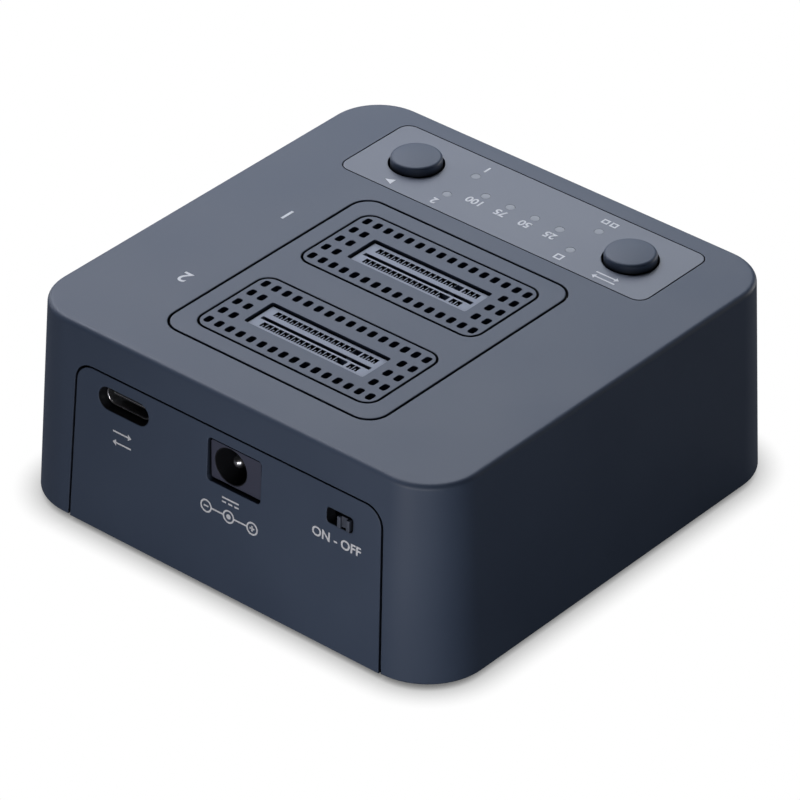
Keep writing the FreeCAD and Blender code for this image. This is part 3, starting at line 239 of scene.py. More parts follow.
def frozen(source):
    # the source's shape as plain mesh, with its modifiers in it
    graph = bpy.context.evaluated_depsgraph_get()
    return bpy.data.meshes.new_from_object(source.evaluated_get(graph))


def shade(piece, angle=35, bevel=0.0, segments=2, bevelAngle=50):
    # soft edges where asked, and even shading over large flat faces
    piece.data.shade_smooth()
    if bevel:
        edge = piece.modifiers.new("edges", "BEVEL")
        edge.width = bevel
        edge.segments = segments
        edge.limit_method = "ANGLE"
        edge.angle_limit = math.radians(bevelAngle)
        edge.use_clamp_overlap = False
    else:
        piece.data.set_sharp_from_angle(angle=math.radians(angle))
    even = piece.modifiers.new("even", "WEIGHTED_NORMAL")
    even.keep_sharp = True
    return piece


def cutAway(piece, cutter):
    # takes the cutter's shape out of the piece's mesh
    cut = piece.modifiers.new("cut", "BOOLEAN")
    cut.operation = "DIFFERENCE"
    cut.solver = "EXACT"
    cut.object = cutter
    data = frozen(piece)
    piece.modifiers.clear()
    piece.data = data
    bpy.data.objects.remove(cutter)


def dress(piece, body, finish, *replaced):
    piece.data.materials.clear()
    piece.data.materials.append(materials[finish])
    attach(piece, body)
    if replaced:
        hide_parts(*replaced)
    return piece


def finishPiece(name, mesh, finish, *replaced, matrix=None, body="housing", **edges):
    return dress(shade(newPiece(name, mesh, matrix), **edges), body, finish, *replaced)


def place(node):
    low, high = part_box(node)
    return low, high, (low + high) / 2


# Node helpers

def feed(tree, value, socket):
    if isinstance(value, bpy.types.NodeSocket):
        tree.links.new(value, socket)
    elif isinstance(value, list):
        for item in value:
            tree.links.new(item, socket)
    else:
        socket.default_value = value


def addNode(tree, kind, inputs=None, **settings):
    node = tree.nodes.new(kind)
    for name, value in settings.items():
        setattr(node, name, value)
    for key, value in (inputs or {}).items():
        feed(tree, value, node.inputs[key])
    return node.outputs


def calc(tree, operation, first, second=0.0):
    return addNode(tree, "ShaderNodeMath", {0: first, 1: second}, operation=operation)[0]


def times(tree, first, second):
    return calc(tree, "MULTIPLY", first, second)


def vector(tree, x=0.0, y=0.0, z=0.0):
    return addNode(tree, "ShaderNodeCombineXYZ", {0: x, 1: y, 2: z})[0]


def startTree(name, kind, inputs, outputs):
    tree = bpy.data.node_groups.new(name, kind)
    for label, form in inputs:
        tree.interface.new_socket(label, in_out="INPUT", socket_type="NodeSocket" + form)
    for label, form in outputs:
        tree.interface.new_socket(label, in_out="OUTPUT", socket_type="NodeSocket" + form)
    return tree, tree.nodes.new("NodeGroupInput").outputs


def endTree(tree, **results):
    out = tree.nodes.new("NodeGroupOutput")
    for label, value in results.items():
        tree.links.new(value, out.inputs[label])


# Shader groups

def noise(tree, where, scale, detail, roughness=0.5):
    return addNode(tree, "ShaderNodeTexNoise", {
        "Vector": where, "Scale": scale, "Detail": detail, "Roughness": roughness,
    })["Fac"]


def startTexture(name, *inputs, outputs=("Height", "Tone")):
    tree, given = startTree(name, "ShaderNodeTree", inputs, [(label, "Float") for label in outputs])
    return tree, given, addNode(tree, "ShaderNodeTexCoord")["Object"]


def makeGrainGroup():
    # spark-eroded mould texture: fine height and a slow change of tone
    tree, given, where = startTexture("mouldGrain", ("Size", "Float"), ("Cloud", "Float"))
    fine = noise(tree, where, calc(tree, "DIVIDE", 1.0, given["Size"]), 3.0, 0.6)
    slow = noise(tree, where, calc(tree, "DIVIDE", 1.0, given["Cloud"]), 2.0)
    endTree(tree, Height=fine, Tone=calc(tree, "ADD", times(tree, fine, 0.35), times(tree, slow, 0.65)))
    return tree


def makeBrushGroup():
    # fine parallel scratches along one axis, as on rolled or drawn metal
    tree, given, where = startTexture("drawnMetal", ("Size", "Float"), ("Stretch", "Vector"))
    drawn = addNode(tree, "ShaderNodeVectorMath", {0: where, 1: given["Stretch"]}, operation="MULTIPLY")[0]
    lines = noise(tree, drawn, calc(tree, "DIVIDE", 1.0, given["Size"]), 4.0)
    patches = noise(tree, where, 400.0, 2.0)
    endTree(tree, Height=lines, Tone=calc(tree, "ADD", times(tree, lines, 0.5), times(tree, patches, 0.5)))
    return tree


def makeTraceGroup():
    # copper tracks under the lacquer of a circuit board
    tree, given, where = startTexture("boardTracks", ("Pitch", "Float"), outputs=("Track", "Tone"))
    cells = addNode(tree, "ShaderNodeTexVoronoi", {
        "Vector": where, "Scale": calc(tree, "DIVIDE", 0.12, given["Pitch"]),
    }, feature="F1", distance="MANHATTAN")
    stripes = calc(tree, "FRACT", times(tree, cells["Distance"], 14.0))
    endTree(tree, Track=addNode(tree, "ShaderNodeMapRange", {0: stripes, 1: 0.55, 2: 0.62})[0],
            Tone=noise(tree, where, 180.0, 3.0))
    return tree


def makePaintedShadeGroup():
    # painted shade: how open a spot is, 1 on open faces and towards 0 in narrow gaps and deep pockets, for darkening
    # the colour there
    tree, given = startTree(
        "cavityShade", "ShaderNodeTree", [("Reach", "Float"), ("Depth", "Float")], [("Open", "Float")]
    )
    nearness = addNode(tree, "ShaderNodeAmbientOcclusion", {"Distance": given["Reach"]}, samples=8)["AO"]
    opened = addNode(tree, "ShaderNodeMapRange", {0: nearness, 1: 0.1, 2: 0.95})[0]
    endTree(tree, Open=calc(tree, "POWER", opened, given["Depth"]))
    return tree


# Finishes

def newMaterial(name, roughness, metallic=0.0, **settings):
    material = bpy.data.materials.new(name)
    material.use_nodes = True
    surface = material.node_tree.nodes["Principled BSDF"]
    surface.inputs["Roughness"].default_value = roughness
    surface.inputs["Metallic"].default_value = metallic
    for label, value in settings.items():
        surface.inputs[label.replace("_", " ")].default_value = value
    return material, material.node_tree, surface


def useGroup(tree, group, **values):
    outputs = addNode(tree, "ShaderNodeGroup", node_tree=group)
    for label, value in values.items():
        outputs[0].node.inputs[label].default_value = value
    return outputs


def mixColours(tree, share, first, second, blend="MIX"):
    return addNode(tree, "ShaderNodeMix", {0: share, 6: first, 7: second}, data_type="RGBA", blend_type=blend)[2]


def addRelief(tree, surface, height, strength, distance):
    relief = addNode(tree, "ShaderNodeBump", {"Strength": strength, "Distance": distance, "Height": height})[0]
    tree.links.new(relief, surface.inputs["Normal"])


def applyGroup(tree, surface, outputs, low, high, bump, distance, gloss, reach=1.0 * mm, depth=0.0):
    # colour between two tones, roughness about its own value, a fine relief, and painted shade that darkens pockets
    # and narrow gaps
    tone = {0: outputs["Tone"], **toneRange}
    spread = addNode(tree, "ShaderNodeMapRange", tone)[0]
    tint = mixColours(tree, spread, (*low, 1.0), (*high, 1.0))
    # painted shade: the colour is multiplied down where the spot is closed in
    if depth:
        opened = useGroup(tree, paintedShadeGroup, Reach=reach, Depth=depth)[0]
        grey = addNode(tree, "ShaderNodeCombineColor", {0: opened, 1: opened, 2: opened})[0]
        tint = mixColours(tree, 1.0, tint, grey, "MULTIPLY")
    tree.links.new(tint, surface.inputs["Base Color"])
    base = surface.inputs["Roughness"].default_value
    rough = addNode(tree, "ShaderNodeMapRange", {**tone, 3: base - gloss, 4: base + gloss})[0]
    tree.links.new(rough, surface.inputs["Roughness"])
    addRelief(tree, surface, outputs["Height"], bump, distance)


grain = makeGrainGroup()
drawnMetal = makeBrushGroup()
boardTracks = makeTraceGroup()
paintedShadeGroup = makePaintedShadeGroup()

plasticFinishes = {
    # name: dark tone, light tone, roughness, (grain size, relief depth, reach of the painted pocket shade) in mm,
    # strength of the painted pocket shade
    "housing_plastic": ((0.058, 0.082, 0.132), (0.068, 0.095, 0.150), 0.52, (0.11, 0.012, 1.2), 1.7),
    "strip_plastic": ((0.142, 0.164, 0.218), (0.154, 0.177, 0.232), 0.42, (0.08, 0.004, 0.8), 1.2),
    "knob_plastic": ((0.088, 0.102, 0.138), (0.100, 0.116, 0.154), 0.45, (0.10, 0.006, 0.8), 1.3),
    "socket_plastic": ((0.215, 0.255, 0.345), (0.250, 0.292, 0.385), 0.42, (0.09, 0.004, 1.2), 1.8),
    "inlet_plastic": ((0.062, 0.068, 0.104), (0.072, 0.078, 0.118), 0.42, (0.12, 0.006, 0.8), 0.6),
    "black_plastic": ((0.012, 0.013, 0.016), (0.018, 0.019, 0.022), 0.40, (0.12, 0.008, 1.0), 0.0),
    "soft_rubber": ((0.014, 0.014, 0.015), (0.022, 0.022, 0.023), 0.75, (0.20, 0.02, 1.0), 0.0),
    "coil_ferrite": ((0.030, 0.030, 0.033), (0.050, 0.050, 0.054), 0.60, (0.15, 0.02, 1.0), 0.0),
    "mark_ink": ((0.80, 0.82, 0.86), (0.86, 0.88, 0.92), 0.55, (0.10, 0.002, 1.0), 0.0),
}
metalFinishes = {
    # name: dark tone, light tone, roughness, scratch size in mm, stretch, strength of the painted pocket shade
    "contact_metal": ((0.72, 0.70, 0.66), (0.86, 0.84, 0.80), 0.28, 0.05, (1.0, 1.0, 0.1), 1.6),
    "steel": ((0.70, 0.71, 0.73), (0.82, 0.83, 0.85), 0.30, 0.06, (0.15, 1.0, 1.0), 0.4),
    "polished_steel": ((0.80, 0.81, 0.82), (0.88, 0.89, 0.90), 0.34, 0.06, (0.15, 1.0, 1.0), 0.0),
    "sink_aluminium": ((0.42, 0.43, 0.45), (0.56, 0.57, 0.59), 0.38, 0.08, (1.0, 0.06, 1.0), 0.0),
}
toneRange = {1: 0.3, 2: 0.7}  # where most values of the noise lie
# how far the painted pocket shade reaches on metals
metalShadeReach = 1.2 * mm
cloudSize = 160  # grains to one slow change of tone


def makeMaterials():
    made = {"lamp_lens": makeLensMaterial(), "board_laminate": makeBoardMaterial()}
    for name, (low, high, roughness, sizes, depth) in plasticFinishes.items():
        made[name], tree, surface = newMaterial(name, roughness)
        size, relief, reach = scaled(sizes)
        outputs = useGroup(tree, grain, Size=size, Cloud=cloudSize * size)
        applyGroup(tree, surface, outputs, low, high, 0.5, relief, 0.03, reach, depth)
    for name, (low, high, roughness, size, stretch, depth) in metalFinishes.items():
        made[name], tree, surface = newMaterial(name, roughness, metallic=1.0)
        outputs = useGroup(tree, drawnMetal, Size=size * mm, Stretch=stretch)
        applyGroup(tree, surface, outputs, low, high, 0.3, 0.004 * mm, 0.06, metalShadeReach, depth)
    return made


def makeLensMaterial():
    # frosted light pipe: milky, slightly see-through
    material, tree, surface = newMaterial("lamp_lens", 0.35, Subsurface_Weight=0.4, Subsurface_Scale=0.5 * mm)
    surface.inputs["Subsurface Radius"].default_value = (1.0, 1.0, 1.0)
    outputs = useGroup(tree, grain, Size=0.06 * mm, Cloud=3 * mm)
    applyGroup(tree, surface, outputs, (0.25, 0.275, 0.325), (0.30, 0.325, 0.375), 0.4, 0.004 * mm, 0.04)
    return material


def makeBoardMaterial():
    # lacquered laminate with lighter tracks
    material, tree, surface = newMaterial("board_laminate", 0.32)
    outputs = useGroup(tree, boardTracks, Pitch=0.5 * mm)
    ground = mixColours(tree, outputs["Tone"], (0.004, 0.030, 0.014, 1.0), (0.008, 0.045, 0.022, 1.0))
    tint = mixColours(tree, outputs["Track"], ground, (0.020, 0.095, 0.045, 1.0))
    tree.links.new(tint, surface.inputs["Base Color"])
    addRelief(tree, surface, outputs["Track"], 0.5, 0.03 * mm)
    return material


materials = makeMaterials()
print("finishes made:", len(materials))


# Housing

draft = math.radians(3.0)
shell = metres(
    wall=2.0, cornerRadius=10.2, cornerSteps=16, edgeRadius=0.85, topThickness=2.5, footEdge=0.3,
    ceilingEdge=0.8,
    rim=0.12,  # rounding where the top drops into an opening
    postEdge=0.2, postRoot=0.5, pillarStart=2.5,
    pillarSpacing=(66.0, 66.0), boardBossSpacing=(56.0, 34.0), boardBossY=8.0, controlBossSpacing=(28.0, 13.6),
)
deck = metres(
    cornerRadius=3.2, gap=0.36, rimThickness=1.4, ledge=1.5, coreThickness=3.0, edge=0.12,
    grilleRadius=2.1, grilleDepth=1.5, grilleLedge=0.75,
    coreGap=0.3,  # between the core and the opening that it drops through
)
hook = metres(
    root=1.8,  # how far the neck stands in from the deck's edge
    thickness=1.2, reach=0.9, catch=2.6, bevel=0.4, width=5.0, spacing=25.0,
)
strip = metres(
    cornerRadius=1.9, gap=0.16, edge=0.06, buttonHole=8.7, lampHole=1.5, lampEdge=0.02, lampPitch=4.74,
    lampMiddle=(-0.45, -27.0), lampStep=3.4,
)
panel = metres(
    topWidth=57.9, footWidth=59.7, height=26.9, cornerRadius=3.0, shift=-0.52, gap=0.24,
    sideGap=0.14,  # added to the gap at the sides
    edge=0.08, wall=2.0, lip=0.9, lipThickness=1.2, lipFoot=2.8, portEdge=0.1, usbOpening=(9.8, 3.8, 1.9),
    jackSize=(9.5, 6.5), inletGap=0.35, slotSize=(4.9, 2.55, 0.6), liner=0.03, linerGap=0.012, linerStart=0.09,
    cutStart=-1.0,
)


def fourCorners(spacing, x=0.0, y=0.0):
    return [
        (x + sideX * spacing[0] / 2, y + sideY * spacing[1] / 2)
        for sideX in (1, -1) for sideY in (1, -1)
    ]


def lampCentres():
    # four lamps in the middle row, and a pair at each end
    centres = []
    for column in range(6):
        x = strip["lampMiddle"][0] + (column - 2.5) * strip["lampPitch"]
        for side in ((-1, 1) if column in (0, 5) else (0,)):
            centres.append((x, strip["lampMiddle"][1] + side * strip["lampStep"]))
    return centres


def controlHoles(buttonProfile, lampProfile, lampSteps):
    # openings for the two buttons and the lamps
    buttons = [place(name)[2] for name in ("start_button_cap", "mode_button_cap")]
    return [
        *[(circleAt(strip["buttonHole"] / 2, spot.x, spot.y), buttonProfile) for spot in buttons],
        *[(circleAt(strip["lampHole"] / 2, x, y, lampSteps), lampProfile) for x, y in lampCentres()],
    ]


def makeTopShell():
    low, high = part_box("top_shell")
    side = high.x - low.x
    ceiling = high.z - shell["topThickness"]
    topGrow = (low.z - high.z) * math.tan(draft)
    ceilingGrow = -shell["wall"] - (ceiling - low.z) * math.tan(draft)
    mesh = bmesh.new()
    outline = plateAt(side, side, shell["cornerRadius"], steps=shell["cornerSteps"])
    under, over = addStack(mesh, outline, softProfile(
        (ceilingGrow - 2 * shell["ceilingEdge"], ceiling),
        (ceilingGrow, ceiling, shell["ceilingEdge"]),
        (-shell["wall"], low.z, shell["footEdge"]),
        (0.0, low.z, shell["footEdge"]),
        (topGrow, high.z, shell["edgeRadius"]),
        (topGrow - 1.5 * shell["edgeRadius"], high.z),
        steps=6,
    ))
    shelf = high.z - deck["rimThickness"]
    seat = addStack(mesh, boxAt("bay_deck", deck["cornerRadius"]), edged(
        shell["rim"], high.z, (deck["gap"], shelf), (-deck["ledge"], shelf), (-deck["ledge"], ceiling),
        grow=deck["gap"], lead=3,
    ))
    stripLow, _, stripMiddle = place("control_strip")
    recess = addStack(mesh, boxAt("control_strip", strip["cornerRadius"]), edged(
        strip["edge"], high.z, (strip["gap"], stripLow.z), grow=strip["gap"], lead=3,
    ))
    through = [(0.0, stripLow.z), (0.0, ceiling)]
    holes = [addStack(mesh, *hole) for hole in controlHoles(through, through, 16)]
    fillFlat(mesh, over, seat[0], recess[0])
    fillFlat(mesh, recess[1], *[top for top, floor in holes])
    fillFlat(mesh, under, seat[1], *[floor for top, floor in holes])

    posts = (
        # places, then radius, bore and depth of the bore in mm, then the level of the lower end
        (fourCorners(shell["pillarSpacing"]), (3.25, 1.3, 10.0), place("base_plate")[0].z + shell["pillarStart"]),
        (fourCorners(shell["boardBossSpacing"], y=shell["boardBossY"]), (2.75, 1.05, 5.5), place("main_board")[1].z),
        (fourCorners(shell["controlBossSpacing"], y=stripMiddle.y), (2.0, 1.05, 5.5), place("control_board")[1].z),
    )
    root = ceiling + shell["postRoot"]
    for places, sizes, level in posts:
        radius, bore, depth = scaled(sizes)
        for x, y in places:
            addTurned(mesh, softProfile(
                (0.3 * bore, level + depth), (bore, level + depth), (bore, level), (radius, level, shell["postEdge"]),
                (radius, root), (0.3 * bore, root),
            ), x, y, steps=28)
    piece = newPiece("housing_top", mesh)
    cutAway(piece, makeGateCutter(low, high))
    dress(shade(piece, bevel=shell["rim"], bevelAngle=60), "housing", "housing_plastic", "top_shell")


def panelAt(height, widen=0.0, foot=0.0):
    return lambda grow: archLoop(
        panel["topWidth"] + 2 * widen, panel["footWidth"] + 2 * widen, height,
        panel["cornerRadius"], panel["shift"], grow, foot,
    )


def makeGateCutter(low, high):
    # the opening in the rear wall that takes the connector panel
    mesh = bmesh.new()
    depth = shell["wall"] + panel["height"] * math.tan(draft) + panel["gap"]
    outline = panelAt(panel["height"] * math.cos(draft), panel["sideGap"])
    addPrism(mesh, outline(panel["gap"]), panel["cutStart"], depth)
    return newPiece("gate_cutter", mesh, facing(0.0, high.y, low.z))


def facing(x, y, z, lean=0.0):
    # local x across, local y up, local z inwards from the rear face
    return Matrix.Translation((x, y, z)) @ Matrix.Rotation(math.radians(90) + lean, 4, "X")


def panelMatrix():
    low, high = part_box("top_shell")
    return facing(0.0, high.y, low.z, draft)


def alongFace(level):
    height = level - place("top_shell")[0].z
    return height / math.cos(draft) + panel["wall"] / 2 * math.tan(draft)


def makeRearPanel():
    wall, lip, inletGap = panel["wall"], panel["lip"], panel["inletGap"]
    usb, inlet, knob = [place(name)[2] for name in ("usb_c_shell", "dc_inlet", "power_switch_knob")]
    jackWidth, jackHeight = panel["jackSize"]
    ports = [plateAt(*size, x, alongFace(level)) for size, x, level in (
        (panel["usbOpening"], usb.x, usb.z),
        ((jackWidth + 2 * inletGap, jackHeight + 2 * inletGap, 2 * inletGap), inlet.x, inlet.z),
        (panel["slotSize"], place("power_switch_body")[2].x, knob.z),
    )]
    portRim = edged(panel["portEdge"], 0.0, (0.0, wall), lead=4)
    mesh = bmesh.new()
    addPlate(mesh, (panelAt(panel["height"]), edged(panel["edge"], 0.0, (0.0, wall))),
             *[(port, portRim) for port in ports])
    lipLoop = panelAt(panel["height"] - panel["lipFoot"], foot=panel["lipFoot"])
    addBand(mesh, lipLoop, -lip, lip, wall, wall + panel["lipThickness"])
    finishPiece("connector_panel", mesh, "housing_plastic", "rear_panel", matrix=panelMatrix())
    # black sheets on the walls of the USB opening and the switch slot: painted shade, where the panel's own plastic
    # is only shaded
    linerGap, liner = panel["linerGap"], panel["liner"]
    for name, port in (("usb_liner", ports[0]), ("switch_liner", ports[2])):
        mesh = bmesh.new()
        addBand(mesh, port, -linerGap - liner, -linerGap, panel["linerStart"], wall - liner)
        finishPiece(name, mesh, "black_plastic", matrix=panelMatrix())


def makeDeck():
    low, high, middle = place("bay_deck")
    under, shelf = high.z - deck["coreThickness"], high.z - deck["rimThickness"]
    inset, ledge, seat = deck["ledge"] + deck["coreGap"], -deck["grilleLedge"], high.z - deck["grilleDepth"]
    side = edged(deck["edge"], high.z, (0.0, shelf), (-inset, shelf), (-inset, under))
    well = edged(deck["edge"], high.z, (deck["gap"], seat), (ledge, seat), (ledge, under), grow=deck["gap"], lead=4)
    mesh = bmesh.new()
    addPlate(mesh, (boxAt("bay_deck", deck["cornerRadius"]), side),
             *[(boxAt(name, deck["grilleRadius"]), well) for name in ("source_grille", "target_grille")])
    neck, catch = high.x - hook["root"], high.z - hook["catch"]
    nose, back = neck + hook["reach"], neck - hook["thickness"]
    for turn in (1, -1):
        points = [
            (turn * x, z) for x, z in (
                (back, under), (back, low.z), (nose - hook["bevel"], low.z), (nose, low.z + hook["bevel"]),
                (nose, catch), (neck, catch), (neck, under),
            )
        ]
        for y in (middle.y - hook["spacing"] / 2, middle.y + hook["spacing"] / 2):
            addSideways(mesh, points, y - hook["width"] / 2, y + hook["width"] / 2)
    finishPiece("drive_deck", mesh, "housing_plastic", "bay_deck")


def makeStrip():
    low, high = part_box("control_strip")
    mesh = bmesh.new()
    buttonRim = edged(strip["edge"], high.z, (0.0, low.z), lead=3)
    lampRim = [(strip["lampEdge"], high.z), (0.0, high.z - strip["lampEdge"]), (0.0, low.z)]
    side = edged(strip["edge"], high.z, (0.0, low.z))
    addPlate(mesh, (boxAt("control_strip", strip["cornerRadius"]), side), *controlHoles(buttonRim, lampRim, 20))
    finishPiece("control_overlay", mesh, "strip_plastic", "control_strip")


makeTopShell()
makeRearPanel()
makeDeck()
makeStrip()
print("housing made")


# Repeated parts made with node groups

def startShape(name, sizes, counts=(), parts=()):
    # a geometry group with its sizes, counts, parts to copy and material as named inputs
    inputs = [(label, "Float") for label in sizes] + [(label, "Int") for label in counts]
    inputs += [(label, "Object") for label in parts] + [("material", "Material")]
    tree, given = startTree(name, "GeometryNodeTree", inputs, [("Geometry", "Geometry")])
    tree.is_modifier = True
    return tree, given


def realize(tree, shape):
    return addNode(tree, "GeometryNodeRealizeInstances", {0: shape})[0]


def join(tree, *shapes):
    return addNode(tree, "GeometryNodeJoinGeometry", {0: list(shapes)})[0]


def copies(tree, points, part, chosen=True):
    return addNode(tree, "GeometryNodeInstanceOnPoints", {
        "Points": points, "Instance": part, "Selection": chosen,
    })[0]


def grid(tree, width, length, columns=2, rows=2):
    return addNode(tree, "GeometryNodeMeshGrid", {
        "Size X": width, "Size Y": length, "Vertices X": columns, "Vertices Y": rows,
    })[0]


def beyond(tree, axis, limit):
    # whether a point lies further out along an axis than the limit
    spot = addNode(tree, "ShaderNodeSeparateXYZ", {0: addNode(tree, "GeometryNodeInputPosition")[0]})[axis]
    return calc(tree, "GREATER_THAN", calc(tree, "ABSOLUTE", spot), limit)


def givenPart(tree, part):
    return addNode(tree, "GeometryNodeObjectInfo", {"Object": part})["Geometry"]


def endShape(tree, given, shape):
    endTree(tree, Geometry=addNode(tree, "GeometryNodeSetMaterial", {
        "Geometry": realize(tree, shape), "Material": given["material"],
    })[0])
    return tree


def runTree(name, tree, sizes, spot, finish):
    # builds the group on an empty mesh and keeps the result as a plain one
    source = addObject(name + "_source", bpy.data.meshes.new(name + "_source"))
    build = source.modifiers.new("build", "NODES")
    build.node_group = tree
    values = {**sizes, "material": materials[finish]}
    for item in tree.interface.items_tree:
        if item.in_out == "INPUT":
            build[item.identifier] = values[item.name]
    data = frozen(source)
    bpy.data.objects.remove(source)
    data.name = name
    data.transform(Matrix.Translation(spot))
    return addObject(name, data)


def buildPiece(name, tree, sizes, spot, finish, replaced, **edges):
    return dress(shade(runTree(name, tree, sizes, spot, finish), **edges), "housing", finish, replaced)


# Perforated grilles

grille = metres(
    corner=2.1, windowWidth=22.6, windowLength=6.4, windowCorner=0.3,
    holeWidth=1.1, holeLength=1.66, holeCorner=0.38, pitchX=2.047, pitchY=3.133, columns=16,
)
grilleEdge = 0.05 * mm


def plateOutline(tree, width, length, radius, steps):
    outline = addNode(tree, "GeometryNodeCurvePrimitiveQuadrilateral", {"Width": width, "Height": length})[0]
    return addNode(tree, "GeometryNodeFilletCurve", {
        "Curve": outline, "Count": steps, "Radius": radius,
    }, mode="POLY")[0]


def thicken(tree, face, thickness):
    # a flat face pushed down into a closed plate
    pushed = addNode(tree, "GeometryNodeExtrudeMesh", {
        "Mesh": face, "Offset": vector(tree, z=-1.0), "Offset Scale": thickness, "Individual": False,
    }, mode="FACES")["Mesh"]
    joined = join(tree, pushed, addNode(tree, "GeometryNodeFlipFaces", {0: face})[0])
    return addNode(tree, "GeometryNodeMergeByDistance", {"Geometry": joined, "Distance": 0.001 * mm})[0]


def makeGrilleTree():
    tree, given = startShape("perforatedCover", (
        "width", "length", "thickness", "corner", "windowWidth", "windowLength", "windowCorner",
        "holeWidth", "holeLength", "holeCorner", "pitchX", "pitchY",
    ), ["columns"])
    plate, window, hole = [
        plateOutline(tree, given[width], given[length], given[corner], steps) for width, length, corner, steps in (
            ("width", "length", "corner", 8), ("windowWidth", "windowLength", "windowCorner", 3),
            ("holeWidth", "holeLength", "holeCorner", 3),
        )
    ]
    # two columns at each end and a row along each side stay in the lattice
    pitchX, pitchY = given["pitchX"], given["pitchY"]
    span = times(tree, pitchX, calc(tree, "SUBTRACT", given["columns"], 1.0))
    lattice = grid(tree, span, times(tree, pitchY, 4.0), given["columns"], 5)
    farColumn = beyond(tree, 0, calc(tree, "SUBTRACT", times(tree, span, 0.5), times(tree, pitchX, 1.5)))
    farRow = beyond(tree, 1, times(tree, pitchY, 1.5))
    holes = realize(tree, copies(tree, lattice, hole, calc(tree, "MAXIMUM", farColumn, farRow)))
    curves = join(tree, plate, window, holes)
    face = addNode(tree, "GeometryNodeFillCurve", {0: curves}, mode="NGONS")[0]
    return endShape(tree, given, thicken(tree, face, given["thickness"]))


def makeGrilles():
    tree = makeGrilleTree()
    for name in ("source_grille", "target_grille"):
        low, high, middle = place(name)
        sizes = {**grille, "width": high.x - low.x, "length": high.y - low.y, "thickness": high.z - low.z}
        buildPiece(name.replace("grille", "cover"), tree, sizes, (middle.x, middle.y, high.z),
                   "housing_plastic", name, bevel=grilleEdge, bevelAngle=60)


makeGrilles()
print("grilles made")


# Drive sockets and their contacts

socket = metres(
    pitch=1.0, first=9.0, row=1.65, cellDepth=5.0, longCells=15, shortCells=3, cellLength=1.2,
    slotWidth=0.65, slotSpan=20.0, slotDepth=4.6, slotY=0.3, mouthWidth=0.76,
    keyX=-6.125, keyWidth=1.0, keyCell=1.25,
)
cell = metres(
    width=0.8,
    rib=0.2, ribLength=0.55,  # short rib between the two contacts of a cell
)
blade = metres(
    pitch=0.5, first=9.25, row=1.65, reach=0.45, width=0.26, thickness=0.1, longCount=29, shortCount=5,
    gapCount=4,  # places that the key leaves free
)


def makeCellCutter():
    # a cell with a short rib at its +Y end
    mesh = bmesh.new()
    halfWidth, halfLength, halfRib = cell["width"] / 2, socket["cellLength"] / 2, cell["rib"] / 2
    ribEnd = halfLength - cell["ribLength"]
    points = [
        (-halfWidth, -halfLength), (halfWidth, -halfLength), (halfWidth, halfLength), (halfRib, halfLength),
        (halfRib, ribEnd), (-halfRib, ribEnd), (-halfRib, halfLength), (-halfWidth, halfLength),
    ]
    addPrism(mesh, points, -socket["cellDepth"], 0.5 * mm)
    return newPiece("cell_cutter", mesh)


def addRows(tree, given, part, row, shift, spacing, longCount, shortCount):
    # a long row towards -X, a gap of so many pitches, then a short row
    pitch = given["pitch"]
    first = calc(tree, "ADD", given["first"], times(tree, pitch, shift))
    far = calc(tree, "SUBTRACT", first, times(tree, pitch, calc(tree, "ADD", longCount, spacing)))
    rows = []
    for start, count in ((first, longCount), (far, shortCount)):
        line = addNode(tree, "GeometryNodeMeshLine", {
            "Count": count, "Start Location": vector(tree, start, row),
            "Offset": vector(tree, times(tree, pitch, -1.0)),
        }, mode="OFFSET")[0]
        rows.append(realize(tree, copies(tree, line, part)))
    return rows


def block(tree, width, length, height, x=0.0, y=0.0, z=0.0, turn=0.0):
    cube = addNode(tree, "GeometryNodeMeshCube", {"Size": vector(tree, width, length, height)})[0]
    return addNode(tree, "GeometryNodeTransform", {
        "Geometry": cube, "Translation": vector(tree, x, y, z), "Rotation": (turn, 0.0, 0.0),
    })[0]


def makeSocketTree():
    tree, given = startShape("edgeSocket", (
        "width", "length", "height", "pitch", "first", "row", "cellDepth", "slotWidth", "slotSpan", "slotDepth",
        "slotY", "mouthWidth", "keyX", "keyWidth", "keyCell", "cellLength",
    ), ("longCells", "shortCells"), ["cell"])
    half = times(tree, given["height"], -0.5)
    body = block(tree, given["width"], given["length"], given["height"], z=half)
    cutter = givenPart(tree, given["cell"])
    cuts = []
    for side, shift, fewer in ((-1.0, 0.0, 0.0), (1.0, -0.25, 1.0)):
        row = times(tree, given["row"], side)
        shortCount = calc(tree, "SUBTRACT", given["shortCells"], fewer)
        cuts += addRows(tree, given, cutter, row, shift, 1.5, given["longCells"], shortCount)
        cuts.append(block(tree, given["keyCell"], given["cellLength"], times(tree, given["cellDepth"], 2.0),
                          given["keyX"], row))
    # the slot is cut each side of the key rib, and its mouth is a square bar on edge
    for side in (1.0, -1.0):
        keyEdge = calc(tree, "ADD", given["keyX"], times(tree, given["keyWidth"], 0.5 * side))
        outer = times(tree, given["slotSpan"], 0.5 * side)
        width = calc(tree, "ABSOLUTE", calc(tree, "SUBTRACT", outer, keyEdge))
        middle = times(tree, calc(tree, "ADD", outer, keyEdge), 0.5)
        cuts.append(block(tree, width, given["slotWidth"], times(tree, given["slotDepth"], 2.0),
                          middle, given["slotY"]))
    barSide = times(tree, given["mouthWidth"], math.sqrt(0.5))
    barLength = calc(tree, "ADD", given["slotSpan"], given["slotWidth"])
    cuts.append(block(tree, barLength, barSide, barSide, y=given["slotY"], turn=math.radians(45)))
    return endShape(tree, given, addNode(tree, "GeometryNodeMeshBoolean", {
        "Mesh 1": body, "Mesh 2": cuts,
    }, operation="DIFFERENCE", solver="EXACT")[0])


